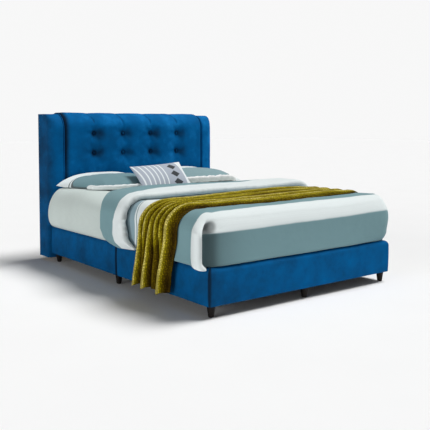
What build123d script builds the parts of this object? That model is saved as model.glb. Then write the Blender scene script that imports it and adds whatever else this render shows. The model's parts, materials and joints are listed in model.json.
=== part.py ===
from build123d import *
import math
import os

os.makedirs("parts", exist_ok=True)

# Driving dimensions in millimetres. X runs across the bed, +Y points to the
# headboard, +Z is up, and the origin is on the floor under the middle.

# Divan base, made as a foot half and a head half
base_width = 1540
base_length = 2040
base_height = 280
leg_height = 68
base_edge_radius = 30
cover_thickness = 2.5
top_padding = 25
side_padding = 8
deck_thickness = 9
rail_thickness = 22
joists_per_half = 2
dust_cover_thickness = 1.5
block_width = 60
block_height = 45

# Tapered round legs
leg_inset = 45
leg_top_diameter = 50
leg_foot_diameter = 32
glide_thickness = 3
glide_diameter = 24
hanger_bolt_diameter = 8
hanger_bolt_grip = 30
bolt_clearance = 0.5

# Steel plates that link the two halves under the seam
link_plate_length = 120
link_plate_width = 40
link_plate_thickness = 3
link_plate_spread = 900
link_screw_diameter = 5
link_screw_length = 30
link_screw_head_diameter = 9
link_screw_head_height = 2.5

# Headboard
headboard_side_reach = 17
headboard_depth = 178
headboard_ground_gap = 26
panel_crest_height = 1160
wing_crest_drop = 10
wing_width = 115
crest_radius = 120
padding_overhang = 36
overhang_lift = 4
panel_gap = 4
panel_edge_radius = 30
wing_outer_radius = 34
wing_inner_radius = 4
back_cover_thickness = 1.5
board_thickness = 12
board_top_drop = 92
plank_thickness = 22
middle_rail_height = 570
wing_foam = 20
wing_rib_thickness = 15
wing_spacer_height = 60
piping_radius = 4
piping_proud = 2
piece_clearance = 0.3

# Button tufting: two rows of four
button_columns = 4
button_rows = 2
button_spacing = 267
button_row_spacing = 156
top_button_drop = 164
button_diameter = 26
button_thickness = 9
tuft_radius = 58
tuft_depth = 24
tuft_floor_radius = 15
pleat_half_width = 8
pleat_depth = 7
pleat_tail = 200
tie_diameter = 3
tie_hole_clearance = 0.3
anchor_diameter = 24
anchor_thickness = 3

# Bolts that hold the headboard to the base
headboard_bolts = 4
headboard_bolt_inset = 84
headboard_bolt_height = 170
headboard_bolt_diameter = 10
headboard_bolt_head_diameter = 18
headboard_bolt_head_height = 6
washer_diameter = 30
washer_thickness = 2
nut_diameter = 18
nut_thickness = 8

# Mattress and fitted sheet
mattress_side_overhang = 10
mattress_thickness = 275
mattress_front_setback = 32
mattress_head_gap = 6
mattress_corner_radius = 95
mattress_edge_radius = 80
ticking_thickness = 2
top_foam_thickness = 55
base_pad_thickness = 30
edge_foam_width = 90
sheet_thickness = 1.5
sheet_hem_height = 18

# Duvet with a turned-back end
duvet_thickness = 24
duvet_clearance = 1
duvet_hem_lift = 7
duvet_fold_setback = 1205
turnback_length = 360
turnback_thickness = 24

# Knitted throw across the bed
throw_thickness = 6
throw_clearance = 0.6
throw_width = 490
throw_setback = 235
throw_folds = 6
throw_fold_depth = 12
throw_hem_height = 84

# Pillows
pillow_width = 735
pillow_depth = 470
pillow_rise = 88
pillow_sag = 38
pillow_gap = 24
pillow_head_gap = 26
pillow_side_draw = 16

# Scatter cushion
cushion_width = 460
cushion_depth = 280
cushion_rise = 44
cushion_sag = 18
cushion_side_draw = 12
cushion_lean = 41
cushion_side_offset = -78
cushion_setback = 1506

# Shares that shape the pillows, from the flat middle of a face to its seam
crown_height_shares = (1, 0.84, 0.4)
crown_size_shares = (0.5, 0.78, 0.95)

overrun = 5

# Sizes worked out from the driving dimensions
overall_length = base_length + headboard_depth
base_front_y = -overall_length / 2
base_seam_y = base_front_y + base_length / 2
base_head_y = base_front_y + base_length
headboard_back_y = base_head_y + headboard_depth
panel_front_y = base_head_y - padding_overhang
padding_bottom_z = base_height + overhang_lift
headboard_width = base_width + 2 * headboard_side_reach
mattress_width = base_width + 2 * mattress_side_overhang
wing_inner_x = headboard_width / 2 - wing_width
panel_half_width = wing_inner_x - panel_gap
wing_crest_height = panel_crest_height - wing_crest_drop
block_back_y = headboard_back_y - back_cover_thickness
board_front_y = base_head_y + cover_thickness
board_back_y = board_front_y + board_thickness
board_top_z = panel_crest_height - board_top_drop
board_half_width = panel_half_width - cover_thickness
frame_side_inset = cover_thickness + side_padding
deck_top_z = base_height - cover_thickness - top_padding
frame_top_z = deck_top_z - deck_thickness
frame_bottom_z = leg_height + dust_cover_thickness


def keep(piece, name):
    piece.label = name
    export_step(piece, f"parts/{name}.step")


def spread(count, span):
    """Evenly spaced places from -span / 2 to +span / 2."""
    return [span * (index / (count - 1) - 1 / 2) for index in range(count)]


def box_between(x0, x1, y0, y1, z0, z1):
    with BuildPart() as block:
        with BuildSketch(Plane.XY.offset(z0)):
            with Locations(((x0 + x1) / 2, (y0 + y1) / 2)):
                Rectangle(x1 - x0, y1 - y0)
        extrude(amount=z1 - z0)
    return block.part


# Places of the headboard bolts, the buttons and the legs
bolt_xs = spread(headboard_bolts, 2 * (board_half_width - plank_thickness - headboard_bolt_inset))
button_xs = spread(button_columns, button_spacing * (button_columns - 1))
button_zs = [panel_crest_height - top_button_drop - row * button_row_spacing for row in range(button_rows)]
pleat_bottom_z = min(button_zs) - pleat_tail
leg_x = base_width / 2 - leg_inset
leg_columns = {"left": -leg_x, "middle": 0, "right": leg_x}
leg_rows = {
    "front": base_front_y + leg_inset,
    "centre": base_seam_y + leg_inset,
    "head": base_head_y - leg_inset,
}


def headboard_rods(diameter, y0, y1):
    """Rods along Y at the places of the headboard bolts."""
    with BuildPart() as rods:
        with BuildSketch(Plane.XZ.offset(-y0)):
            with Locations(*[(x, headboard_bolt_height) for x in bolt_xs]):
                Circle(diameter / 2)
        extrude(amount=y0 - y1)
    return rods.part


bolt_hole_diameter = headboard_bolt_diameter + 2 * bolt_clearance


# Screws that hold the link plates to the end rails of both halves
link_xs = (-link_plate_spread / 2, link_plate_spread / 2)
link_screw_offset = frame_side_inset + rail_thickness / 2
link_screw_ys = (base_seam_y - link_screw_offset, base_seam_y + link_screw_offset)
link_screw_places = [(x, y) for x in link_xs for y in link_screw_ys]
link_screw_head_z = leg_height - link_plate_thickness

with BuildPart() as link_screws:
    with BuildSketch(Plane.XY.offset(link_screw_head_z)):
        with Locations(*link_screw_places):
            Circle(link_screw_diameter / 2)
    extrude(amount=link_screw_length)
link_screw_rods = link_screws.part


# Divan base

def base_block(y0, y1, inset, meets_headboard):
    """One half's outer block, with its long edges and any free end rounded on top."""
    bottom_z = leg_height
    with BuildPart() as block:
        with BuildSketch(Plane.XY.offset(bottom_z)):
            with Locations((0, (y0 + y1) / 2)):
                Rectangle(base_width - 2 * inset, y1 - y0 - 2 * inset)
        extrude(amount=base_height - inset - bottom_z)
        top_edges = block.faces().sort_by(Axis.Z)[-1].edges()
        long_edges = top_edges.filter_by(Axis.Y)
        front_edges = [] if meets_headboard else top_edges.sort_by(Axis.Y)[:1]
        fillet([*long_edges, *front_edges], radius=base_edge_radius - inset)
    return block.part


def base_half(name, y0, y1, meets_headboard):
    end_depth = frame_side_inset + rail_thickness
    bolt_rods = headboard_rods(bolt_hole_diameter, y1 - end_depth - overrun, y1 + overrun)

    with BuildPart() as cover:
        add(base_block(y0, y1, 0, meets_headboard))
        add(base_block(y0, y1, cover_thickness, meets_headboard), mode=Mode.SUBTRACT)
        if meets_headboard:
            add(bolt_rods, mode=Mode.SUBTRACT)
    keep(cover.part, f"{name}_base_cover")

    frame_x = base_width / 2 - frame_side_inset
    frame_y0 = y0 + frame_side_inset
    frame_y1 = y1 - frame_side_inset
    with BuildPart() as padding:
        add(base_block(y0, y1, cover_thickness, meets_headboard))
        core = box_between(-frame_x, frame_x, frame_y0, frame_y1, leg_height, deck_top_z)
        add(core, mode=Mode.SUBTRACT)
        if meets_headboard:
            add(bolt_rods, mode=Mode.SUBTRACT)
    keep(padding.part, f"{name}_base_padding")

    with BuildPart() as deck:
        add(box_between(-frame_x, frame_x, frame_y0, frame_y1, frame_top_z, deck_top_z))
    keep(deck.part, f"{name}_base_deck")

    with BuildPart() as frame:
        with BuildSketch(Plane.XY.offset(frame_bottom_z)):
            with Locations((0, (y0 + y1) / 2)):
                Rectangle(2 * frame_x, frame_y1 - frame_y0)
                inner_length = frame_y1 - frame_y0 - 2 * rail_thickness
                Rectangle(2 * frame_x - 2 * rail_thickness, inner_length, mode=Mode.SUBTRACT)
            bay = inner_length / (joists_per_half + 1)
            for index in range(joists_per_half):
                with Locations((0, frame_y0 + rail_thickness + bay * (index + 1))):
                    Rectangle(2 * frame_x - rail_thickness, rail_thickness)
        extrude(amount=frame_top_z - frame_bottom_z)
        add(link_screw_rods, mode=Mode.SUBTRACT)
        if meets_headboard:
            add(bolt_rods, mode=Mode.SUBTRACT)
    keep(frame.part, f"{name}_base_frame")

    rows = [y for y in leg_rows.values() if y0 < y < y1]
    inner_x = frame_x - rail_thickness - block_width / 2
    with BuildPart() as blocks:
        for row_y in rows:
            near_low_end = row_y < (y0 + y1) / 2
            rail_y = frame_y0 + rail_thickness if near_low_end else frame_y1 - rail_thickness
            block_y = rail_y + block_width / 2 * (1 if near_low_end else -1)
            with BuildSketch(Plane.XY.offset(frame_bottom_z)):
                with Locations((-inner_x, block_y), (0, block_y), (inner_x, block_y)):
                    Rectangle(block_width, block_width)
                with Locations(*[(x, row_y) for x in leg_columns.values()]):
                    Circle(hanger_bolt_diameter / 2, mode=Mode.SUBTRACT)
            extrude(amount=block_height)
    keep(blocks.part, f"{name}_base_leg_blocks")

    with BuildPart() as dust_cover:
        with BuildSketch(Plane.XY.offset(leg_height)):
            with Locations((0, (y0 + y1) / 2)):
                Rectangle(2 * frame_x, frame_y1 - frame_y0)
            with Locations(*[(x, y) for x in leg_columns.values() for y in rows]):
                Circle(hanger_bolt_diameter / 2 + bolt_clearance, mode=Mode.SUBTRACT)
        extrude(amount=dust_cover_thickness)
        add(link_screw_rods, mode=Mode.SUBTRACT)
    keep(dust_cover.part, f"{name}_base_dust_cover")


base_half("foot", base_front_y, base_seam_y, False)
base_half("head", base_seam_y, base_head_y, True)


# Legs, their hanger bolts and glides

def leg(x, y):
    with BuildPart() as post:
        with BuildSketch(Plane.XY.offset(glide_thickness)):
            with Locations((x, y)):
                Circle(leg_foot_diameter / 2)
        with BuildSketch(Plane.XY.offset(leg_height)):
            with Locations((x, y)):
                Circle(leg_top_diameter / 2)
        loft()
        with BuildSketch(Plane.XY.offset(leg_height - hanger_bolt_grip)):
            with Locations((x, y)):
                Circle(hanger_bolt_diameter / 2)
        extrude(amount=hanger_bolt_grip + overrun, mode=Mode.SUBTRACT)
    return post.part


for row_name, row_y in leg_rows.items():
    for column_name, column_x in leg_columns.items():
        keep(leg(column_x, row_y), f"{row_name}_{column_name}_leg")

leg_places = [(x, y) for y in leg_rows.values() for x in leg_columns.values()]

with BuildPart() as hanger_bolts:
    with BuildSketch(Plane.XY.offset(leg_height - hanger_bolt_grip)):
        with Locations(*leg_places):
            Circle(hanger_bolt_diameter / 2)
    extrude(amount=hanger_bolt_grip + dust_cover_thickness + hanger_bolt_grip)
keep(hanger_bolts.part, "leg_hanger_bolts")

with BuildPart() as glides:
    with BuildSketch(Plane.XY):
        with Locations(*leg_places):
            Circle(glide_diameter / 2)
    extrude(amount=glide_thickness)
keep(glides.part, "leg_glides")


# Link plates and their screws, under the seam

with BuildPart() as link_plates:
    with BuildSketch(Plane.XY.offset(link_screw_head_z)):
        with Locations(*[(x, base_seam_y) for x in link_xs]):
            Rectangle(link_plate_width, link_plate_length)
        with Locations(*link_screw_places):
            Circle(link_screw_diameter / 2, mode=Mode.SUBTRACT)
    extrude(amount=link_plate_thickness)
keep(link_plates.part, "base_link_plates")

with BuildPart() as headed_screws:
    add(link_screw_rods)
    with BuildSketch(Plane.XY.offset(link_screw_head_z - link_screw_head_height)):
        with Locations(*link_screw_places):
            Circle(link_screw_head_diameter / 2)
    extrude(amount=link_screw_head_height)
keep(headed_screws.part, "link_plate_screws")


# Headboard

def padded_block(x0, x1, crest_z, inset, radii=None):
    """Headboard block between two X planes, with a rounded crest and rounded front edges."""
    front_y = panel_front_y + inset
    low_front_y = base_head_y + inset
    top_z = crest_z - inset
    radius = crest_radius - inset
    bottom_z = headboard_ground_gap + inset
    step_z = padding_bottom_z + inset
    bend = radius * math.sqrt(1 / 2)
    with BuildPart() as block:
        with BuildSketch(Plane.YZ.offset(x0)):
            with BuildLine():
                Polyline((block_back_y, top_z), (block_back_y, bottom_z), (low_front_y, bottom_z),
                         (low_front_y, step_z), (front_y, step_z), (front_y, top_z - radius))
                ThreePointArc((front_y, top_z - radius),
                              (front_y + radius - bend, top_z - radius + bend),
                              (front_y + radius, top_z))
                Line((front_y + radius, top_z), (block_back_y, top_z))
            make_face()
        extrude(amount=x1 - x0)
        for side_x, side_radius in zip((x0, x1), radii or ()):
            side_edges = block.edges().filter_by(lambda edge: abs(edge.center().X - side_x) < piece_clearance)
            front_edges = side_edges.filter_by(lambda edge: is_front_edge(edge, front_y, step_z, top_z))
            fillet(front_edges, radius=side_radius - inset)
    return block.part


def is_front_edge(edge, front_y, step_z, top_z):
    """True for the front line, the arc and the crest line of a headboard block."""
    middle = edge.center()
    in_front = abs(middle.Y - front_y) < piece_clearance and middle.Z > step_z + piece_clearance
    on_crest = abs(middle.Z - top_z) < piece_clearance
    return in_front or on_crest or edge.geom_type == GeomType.CIRCLE


def pleat_section(x, inset):
    """V section of a pleat, pointing into the padding, seen from above."""
    front_y = panel_front_y + inset
    with BuildSketch(Plane.XY.offset(panel_crest_height - crest_radius)) as section:
        with BuildLine():
            Polyline((x - pleat_half_width, front_y - overrun), (x + pleat_half_width, front_y - overrun),
                     (x + pleat_half_width, front_y), (x, front_y + pleat_depth),
                     (x - pleat_half_width, front_y), close=True)
        make_face()
    return section.sketch


def tuft_cuts(inset):
    """Hollows round the buttons and the pleats that run through them and over the crest."""
    front_y = panel_front_y + inset
    arc_centre_y = panel_front_y + crest_radius
    arc_centre_z = panel_crest_height - crest_radius
    middle_radius = (tuft_radius + tuft_floor_radius) / 2 - pleat_half_width
    middle_depth = tuft_depth / 4
    with BuildPart() as cuts:
        for x in button_xs:
            section = pleat_section(x, inset)
            extrude(section, amount=-(arc_centre_z - pleat_bottom_z))
            crest_axis = Axis((0, arc_centre_y, arc_centre_z), (-1, 0, 0))
            revolve(section, axis=crest_axis, revolution_arc=90)
        for x in button_xs:
            for z in button_zs:
                hollow_plane = Plane((x, front_y, z), x_dir=(1, 0, 0), z_dir=(0, 0, 1))
                with BuildSketch(hollow_plane):
                    with BuildLine():
                        Polyline((0, tuft_depth), (0, -overrun), (tuft_radius, -overrun), (tuft_radius, 0))
                        ThreePointArc((tuft_radius, 0), (middle_radius, middle_depth),
                                      (tuft_floor_radius, tuft_depth))
                        Line((tuft_floor_radius, tuft_depth), (0, tuft_depth))
                    make_face()
                revolve(axis=Axis((x, front_y, z), (0, 1, 0)))
    return cuts.part


def tie_holes(y0, y1, radius):
    with BuildPart() as rods:
        with BuildSketch(Plane.XZ.offset(-y0)):
            with Locations(*[(x, z) for x in button_xs for z in button_zs]):
                Circle(radius)
        extrude(amount=y0 - y1)
    return rods.part


def panel_block(inset):
    half_width = panel_half_width - inset
    edge_radii = (panel_edge_radius, panel_edge_radius)
    return padded_block(-half_width, half_width, panel_crest_height, inset, edge_radii)


tie_hole_radius = tie_diameter / 2 + tie_hole_clearance
through_tie_holes = tie_holes(panel_front_y - overrun, headboard_back_y, tie_hole_radius)
headboard_bolt_rods = headboard_rods(bolt_hole_diameter, base_head_y - overrun, board_back_y + overrun)

with BuildPart() as panel_hollow:
    add(panel_block(cover_thickness))
    add(tuft_cuts(cover_thickness), mode=Mode.SUBTRACT)
panel_hollow_shape = panel_hollow.part

with BuildPart() as panel_cover:
    add(panel_block(0))
    add(tuft_cuts(0), mode=Mode.SUBTRACT)
    add(panel_hollow_shape, mode=Mode.SUBTRACT)
    add(through_tie_holes, mode=Mode.SUBTRACT)
    add(headboard_bolt_rods, mode=Mode.SUBTRACT)
keep(panel_cover.part, "headboard_panel_cover")

with BuildPart() as panel_foam:
    add(panel_hollow_shape)
    add(box_between(-board_half_width, board_half_width, board_front_y, headboard_back_y,
                    headboard_ground_gap, board_top_z), mode=Mode.SUBTRACT)
    add(through_tie_holes, mode=Mode.SUBTRACT)
keep(panel_foam.part, "headboard_panel_foam")

with BuildPart() as front_board:
    add(box_between(-board_half_width, board_half_width, board_front_y, board_back_y,
                    headboard_ground_gap + cover_thickness, board_top_z))
    add(through_tie_holes, mode=Mode.SUBTRACT)
    add(headboard_bolt_rods, mode=Mode.SUBTRACT)
keep(front_board.part, "headboard_front_board")

# Box frame of planks on edge behind the board: rails along X and posts along Z
frame_low_z = headboard_ground_gap + cover_thickness
rail_zs = (frame_low_z, middle_rail_height, board_top_z - plank_thickness)
post_xs = (-board_half_width, -plank_thickness / 2, board_half_width - plank_thickness)

with BuildPart() as headboard_frame:
    with BuildSketch(Plane.XZ.offset(-board_back_y)):
        for rail_z in rail_zs:
            with Locations((0, rail_z + plank_thickness / 2)):
                Rectangle(2 * board_half_width, plank_thickness)
        for post_x in post_xs:
            with Locations((post_x + plank_thickness / 2, (frame_low_z + board_top_z) / 2)):
                Rectangle(plank_thickness, board_top_z - frame_low_z)
    extrude(amount=board_back_y - block_back_y)
keep(headboard_frame.part, "headboard_frame")

with BuildPart() as back_cover:
    with BuildSketch(Plane.XZ.offset(-block_back_y)):
        wing_height = wing_crest_height - headboard_ground_gap
        with Locations((0, headboard_ground_gap + wing_height / 2)):
            Rectangle(headboard_width, wing_height)
        crest_step = panel_crest_height - wing_crest_height
        with Locations((0, wing_crest_height + crest_step / 2)):
            Rectangle(2 * (panel_half_width - panel_edge_radius), crest_step)
    extrude(amount=-back_cover_thickness)
keep(back_cover.part, "headboard_back_cover")


# Buttons, the ties that pull them in, and the anchors behind the board

button_seat_y = panel_front_y + tuft_depth

button_radius = button_diameter / 2
dome_radius = (button_radius ** 2 + button_thickness ** 2) / (2 * button_thickness)
dome_centre_y = dome_radius - button_thickness
half_angle = math.asin(button_radius / dome_radius) / 2

with BuildPart() as one_button:
    with BuildSketch(Plane.XY):
        with BuildLine():
            Polyline((0, -button_thickness), (0, 0), (button_radius, 0))
            dome_x = dome_radius * math.sin(half_angle)
            dome_y = dome_centre_y - dome_radius * math.cos(half_angle)
            ThreePointArc((button_radius, 0), (dome_x, dome_y), (0, -button_thickness))
        make_face()
    revolve(axis=Axis.Y)
button_shape = one_button.part

with BuildPart() as buttons:
    with Locations(*[(x, button_seat_y, z) for x in button_xs for z in button_zs]):
        add(button_shape)
keep(buttons.part, "tuft_buttons")

keep(tie_holes(button_seat_y, board_back_y, tie_diameter / 2), "button_ties")
keep(tie_holes(board_back_y, board_back_y + anchor_thickness, anchor_diameter / 2), "tie_anchors")


# Headboard bolts, washers and nuts

end_rail_face_y = base_head_y - frame_side_inset - rail_thickness
bolt_head_y = board_back_y + washer_thickness
nut_face_y = end_rail_face_y - nut_thickness

with BuildPart() as bolts:
    add(headboard_rods(headboard_bolt_diameter, nut_face_y, bolt_head_y))
    add(headboard_rods(headboard_bolt_head_diameter, bolt_head_y, bolt_head_y + headboard_bolt_head_height))
keep(bolts.part, "headboard_bolts")

with BuildPart() as washers:
    add(headboard_rods(washer_diameter, board_back_y, bolt_head_y))
    add(headboard_rods(headboard_bolt_diameter, board_back_y, bolt_head_y), mode=Mode.SUBTRACT)
keep(washers.part, "headboard_washers")

with BuildPart() as nuts:
    add(headboard_rods(nut_diameter, nut_face_y, end_rail_face_y))
    add(headboard_rods(headboard_bolt_diameter, nut_face_y, end_rail_face_y), mode=Mode.SUBTRACT)
keep(nuts.part, "headboard_nuts")


# Wings: a velvet cover, foam, plywood ribs with spacers, and a piping cord

def wing(side_name, side):
    outer_x = side * headboard_width / 2
    inner_x = side * wing_inner_x
    low_x = min(outer_x, inner_x)
    high_x = max(outer_x, inner_x)
    radii = (wing_outer_radius, wing_inner_radius) if side < 0 else (wing_inner_radius, wing_outer_radius)
    inner_block = padded_block(low_x + cover_thickness, high_x - cover_thickness, wing_crest_height,
                               cover_thickness, radii)
    with BuildPart() as cover:
        add(padded_block(low_x, high_x, wing_crest_height, 0, radii))
        add(inner_block, mode=Mode.SUBTRACT)
    keep(cover.part, f"{side_name}_wing_cover")

    foam_inset = cover_thickness + wing_foam
    rib_block = padded_block(low_x + foam_inset, high_x - foam_inset, wing_crest_height, foam_inset)
    with BuildPart() as foam:
        add(inner_block)
        add(rib_block, mode=Mode.SUBTRACT)
    keep(foam.part, f"{side_name}_wing_foam")

    with BuildPart() as ribs:
        add(rib_block)
        rib_gap_low = low_x + foam_inset + wing_rib_thickness
        rib_gap_high = high_x - foam_inset - wing_rib_thickness
        spacer_edges = spacer_gaps()
        for gap_bottom, gap_top in spacer_edges:
            add(box_between(rib_gap_low, rib_gap_high, panel_front_y, headboard_back_y, gap_bottom, gap_top),
                mode=Mode.SUBTRACT)
    keep(ribs.part, f"{side_name}_wing_ribs")

    cord_x = inner_x - side * (piping_radius + piece_clearance)
    cord_y = panel_front_y + piping_proud
    cord_bend = crest_radius - piping_proud
    arc_centre_y = panel_front_y + crest_radius
    arc_centre_z = wing_crest_height - crest_radius
    with BuildPart() as piping:
        with BuildSketch(Plane.XY.offset(padding_bottom_z)) as cord_section:
            with Locations((cord_x, cord_y)):
                Circle(piping_radius)
        extrude(amount=arc_centre_z - padding_bottom_z)
        top_of_line = cord_section.sketch.moved(Location((0, 0, arc_centre_z - padding_bottom_z)))
        revolve(top_of_line, axis=Axis((0, arc_centre_y, arc_centre_z), (-1, 0, 0)), revolution_arc=90)
        with BuildSketch(Plane.XZ.offset(-arc_centre_y)):
            with Locations((cord_x, arc_centre_z + cord_bend)):
                Circle(piping_radius)
        extrude(amount=arc_centre_y - block_back_y)
    keep(piping.part, f"{side_name}_wing_piping")


def spacer_gaps():
    """Heights between the spacers that tie the two ribs of a wing together."""
    foam_inset = cover_thickness + wing_foam
    bottom_z = headboard_ground_gap + foam_inset
    top_z = wing_crest_height - crest_radius
    middle_z = (bottom_z + top_z) / 2
    half_spacer = wing_spacer_height / 2
    return ((bottom_z + wing_spacer_height, middle_z - half_spacer), (middle_z + half_spacer, top_z))


wing("left", -1)
wing("right", 1)


# Mattress, built up inside its ticking, and the fitted sheet over it

mattress_front_y = base_front_y + mattress_front_setback
mattress_head_y = panel_front_y - mattress_head_gap
mattress_bottom_z = base_height
mattress_top_z = mattress_bottom_z + mattress_thickness


def mattress_slab(growth):
    """Rounded slab, larger than the mattress by growth on every side but the bottom."""
    with BuildPart() as slab:
        with BuildSketch(Plane.XY.offset(mattress_bottom_z - min(growth, 0))):
            with Locations((0, (mattress_front_y + mattress_head_y) / 2)):
                RectangleRounded(mattress_width + 2 * growth, mattress_head_y - mattress_front_y + 2 * growth,
                                 mattress_corner_radius + growth)
        extrude(amount=mattress_thickness + growth + min(growth, 0))
        slab_edges = slab.faces().sort_by(Axis.Z)[-1].edges() + slab.faces().sort_by(Axis.Z)[0].edges()
        fillet(slab_edges, radius=mattress_edge_radius + min(growth, 0))
    return slab.part


def hanging_slab(growth, top_growth, bottom_z, y0, y1):
    """Slab over the mattress with straight sides down to bottom_z, cut off between y0 and y1."""
    with BuildPart() as slab:
        with BuildSketch(Plane.XY.offset(bottom_z)):
            with Locations((0, (mattress_front_y + mattress_head_y) / 2)):
                RectangleRounded(mattress_width + 2 * growth, mattress_head_y - mattress_front_y + 2 * growth,
                                 mattress_corner_radius + growth)
        extrude(amount=mattress_top_z + top_growth - bottom_z)
        fillet(slab.faces().sort_by(Axis.Z)[-1].edges(), radius=mattress_edge_radius + top_growth)
        reach = mattress_width
        add(box_between(-reach, reach, y0, y1, bottom_z, mattress_top_z + reach), mode=Mode.INTERSECT)
    return slab.part


ticking_outer = mattress_slab(0)
ticking_inner = mattress_slab(-ticking_thickness)

with BuildPart() as ticking:
    add(ticking_outer)
    add(ticking_inner, mode=Mode.SUBTRACT)
keep(ticking.part, "mattress_ticking")

core_reach = mattress_width
core_top_z = mattress_top_z - ticking_thickness - top_foam_thickness
core_bottom_z = mattress_bottom_z + ticking_thickness + base_pad_thickness
core_half_width = mattress_width / 2 - ticking_thickness - edge_foam_width
core_front_y = mattress_front_y + ticking_thickness + edge_foam_width
core_head_y = mattress_head_y - ticking_thickness - edge_foam_width


def mattress_layer(z0, z1):
    band = box_between(-core_reach, core_reach, -overall_length, overall_length, z0, z1)
    with BuildPart() as layer:
        add(ticking_inner)
        add(band, mode=Mode.INTERSECT)
    return layer.part


spring_block = box_between(-core_half_width, core_half_width, core_front_y, core_head_y,
                           core_bottom_z, core_top_z)
keep(spring_block, "mattress_spring_unit")
keep(mattress_layer(core_top_z, mattress_top_z), "mattress_top_foam")
keep(mattress_layer(mattress_bottom_z, core_bottom_z), "mattress_base_pad")

with BuildPart() as edge_foam:
    add(mattress_layer(core_bottom_z, core_top_z))
    add(spring_block, mode=Mode.SUBTRACT)
keep(edge_foam.part, "mattress_edge_foam")

with BuildPart() as fitted_sheet:
    add(mattress_slab(sheet_thickness))
    add(ticking_outer, mode=Mode.SUBTRACT)
    add(box_between(-core_reach, core_reach, -overall_length, overall_length,
                    mattress_bottom_z, mattress_bottom_z + sheet_hem_height), mode=Mode.SUBTRACT)
keep(fitted_sheet.part, "fitted_sheet")


# Duvet, hanging over the foot and both sides, with its head end turned back

duvet_inner = sheet_thickness + duvet_clearance
duvet_outer = duvet_inner + duvet_thickness
turnback_outer = duvet_outer + turnback_thickness
duvet_hem_z = mattress_bottom_z + duvet_hem_lift
duvet_fold_y = base_front_y + duvet_fold_setback
turnback_y = duvet_fold_y - turnback_length
duvet_front_y = mattress_front_y - duvet_outer

with BuildPart() as duvet:
    add(hanging_slab(duvet_outer, duvet_outer, duvet_hem_z, duvet_front_y, duvet_fold_y))
    add(hanging_slab(turnback_outer, turnback_outer, duvet_hem_z, turnback_y, duvet_fold_y))
    add(hanging_slab(duvet_inner, duvet_inner, duvet_hem_z, duvet_front_y, duvet_fold_y), mode=Mode.SUBTRACT)
keep(duvet.part, "duvet")


# Knitted throw across the duvet, folded lengthwise and hanging down both sides

def throw_section(x, z):
    """Wavy band seen from the side: arcs up and down, one thickness apart."""
    fold_pitch = throw_width / throw_folds
    start_y = base_front_y + throw_setback
    with BuildSketch(Plane.YZ.offset(x)) as section:
        with BuildLine():
            for level in (0, throw_thickness):
                for index in range(throw_folds):
                    left = start_y + fold_pitch * index
                    ridge = z + level + throw_fold_depth
                    dip = z + level
                    ThreePointArc((left, dip), (left + fold_pitch / 2, ridge), (left + fold_pitch, dip))
            Line((start_y, z), (start_y, z + throw_thickness))
            Line((start_y + throw_width, z), (start_y + throw_width, z + throw_thickness))
        make_face()
    return section.sketch


throw_inner = duvet_outer + throw_clearance
throw_bend = mattress_edge_radius + throw_inner
bend_x = mattress_width / 2 + throw_inner - throw_bend
bend_z = mattress_top_z + throw_inner - throw_bend

with BuildPart() as throw:
    top_section = throw_section(-bend_x, mattress_top_z + throw_inner)
    extrude(top_section, amount=2 * bend_x)
    revolve(top_section, axis=Axis((-bend_x, 0, bend_z), (0, -1, 0)), revolution_arc=90)
    side_section = top_section.rotate(Axis((-bend_x, 0, bend_z), (0, -1, 0)), 90)
    extrude(side_section, amount=bend_z - throw_hem_height, dir=(0, 0, -1))
    mirror(about=Plane.YZ)
keep(throw.part, "throw")


# Pillows and the scatter cushion: seamed outlines with drawn-in sides and a crown

def pillow_outline(plane, width, depth, draw):
    """Four shallow arcs that meet in corners, drawn in by draw at the middle of each side."""
    half_x = width / 2
    half_y = depth / 2
    with BuildSketch(plane) as outline:
        with BuildLine():
            ThreePointArc((-half_x, -half_y), (0, -half_y + draw), (half_x, -half_y))
            ThreePointArc((half_x, -half_y), (half_x - draw, 0), (half_x, half_y))
            ThreePointArc((half_x, half_y), (0, half_y - draw), (-half_x, half_y))
            ThreePointArc((-half_x, half_y), (-half_x + draw, 0), (-half_x, -half_y))
        make_face()
    return outline.sketch


def stuffed(width, depth, rise, sag, draw, middle_plane):
    """Stuffed body: from its seam outline it rises to one crown and sags to another."""
    shares = list(zip(crown_height_shares, crown_size_shares))
    levels = [(-sag * height, size) for height, size in shares]
    levels.append((0, 1))
    levels += [(rise * height, size) for height, size in reversed(shares)]
    outlines = [pillow_outline(middle_plane.offset(level), width * size, depth * size, draw * size)
                for level, size in levels]
    with BuildPart() as body:
        loft(outlines, ruled=True)
    return body.part


# The lowest point of the leaning cushion rests on the fitted sheet
lean_rise = math.sin(math.radians(cushion_lean))
lean_run = math.cos(math.radians(cushion_lean))
cushion_reach = max(cushion_depth / 2 * size * lean_rise + cushion_sag * height * lean_run
                    for height, size in zip(crown_height_shares, crown_size_shares))
cushion_middle_z = mattress_top_z + sheet_thickness + piece_clearance + cushion_reach
cushion_middle = (cushion_side_offset, base_front_y + cushion_setback, cushion_middle_z)
cushion_plane = Plane(cushion_middle, x_dir=(1, 0, 0), z_dir=(0, 0, 1)).rotated((cushion_lean, 0, 0))
cushion_body = stuffed(
    cushion_width, cushion_depth, cushion_rise, cushion_sag, cushion_side_draw, cushion_plane)
keep(cushion_body, "scatter_cushion")

sheet_top_z = mattress_top_z + sheet_thickness
pillow_seam_y = panel_front_y - pillow_head_gap - pillow_depth / 2
pillow_seam_z = sheet_top_z + piece_clearance + pillow_sag
pillow_middle_x = (pillow_width + pillow_gap) / 2

for side_name, side in (("left", -1), ("right", 1)):
    pillow_plane = Plane((side * pillow_middle_x, pillow_seam_y, pillow_seam_z))
    pillow_body = stuffed(pillow_width, pillow_depth, pillow_rise, pillow_sag, pillow_side_draw, pillow_plane)
    keep(pillow_body, f"{side_name}_pillow")
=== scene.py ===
import json
import math

import bmesh
import bpy
import numpy as np
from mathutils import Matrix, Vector, noise


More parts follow.
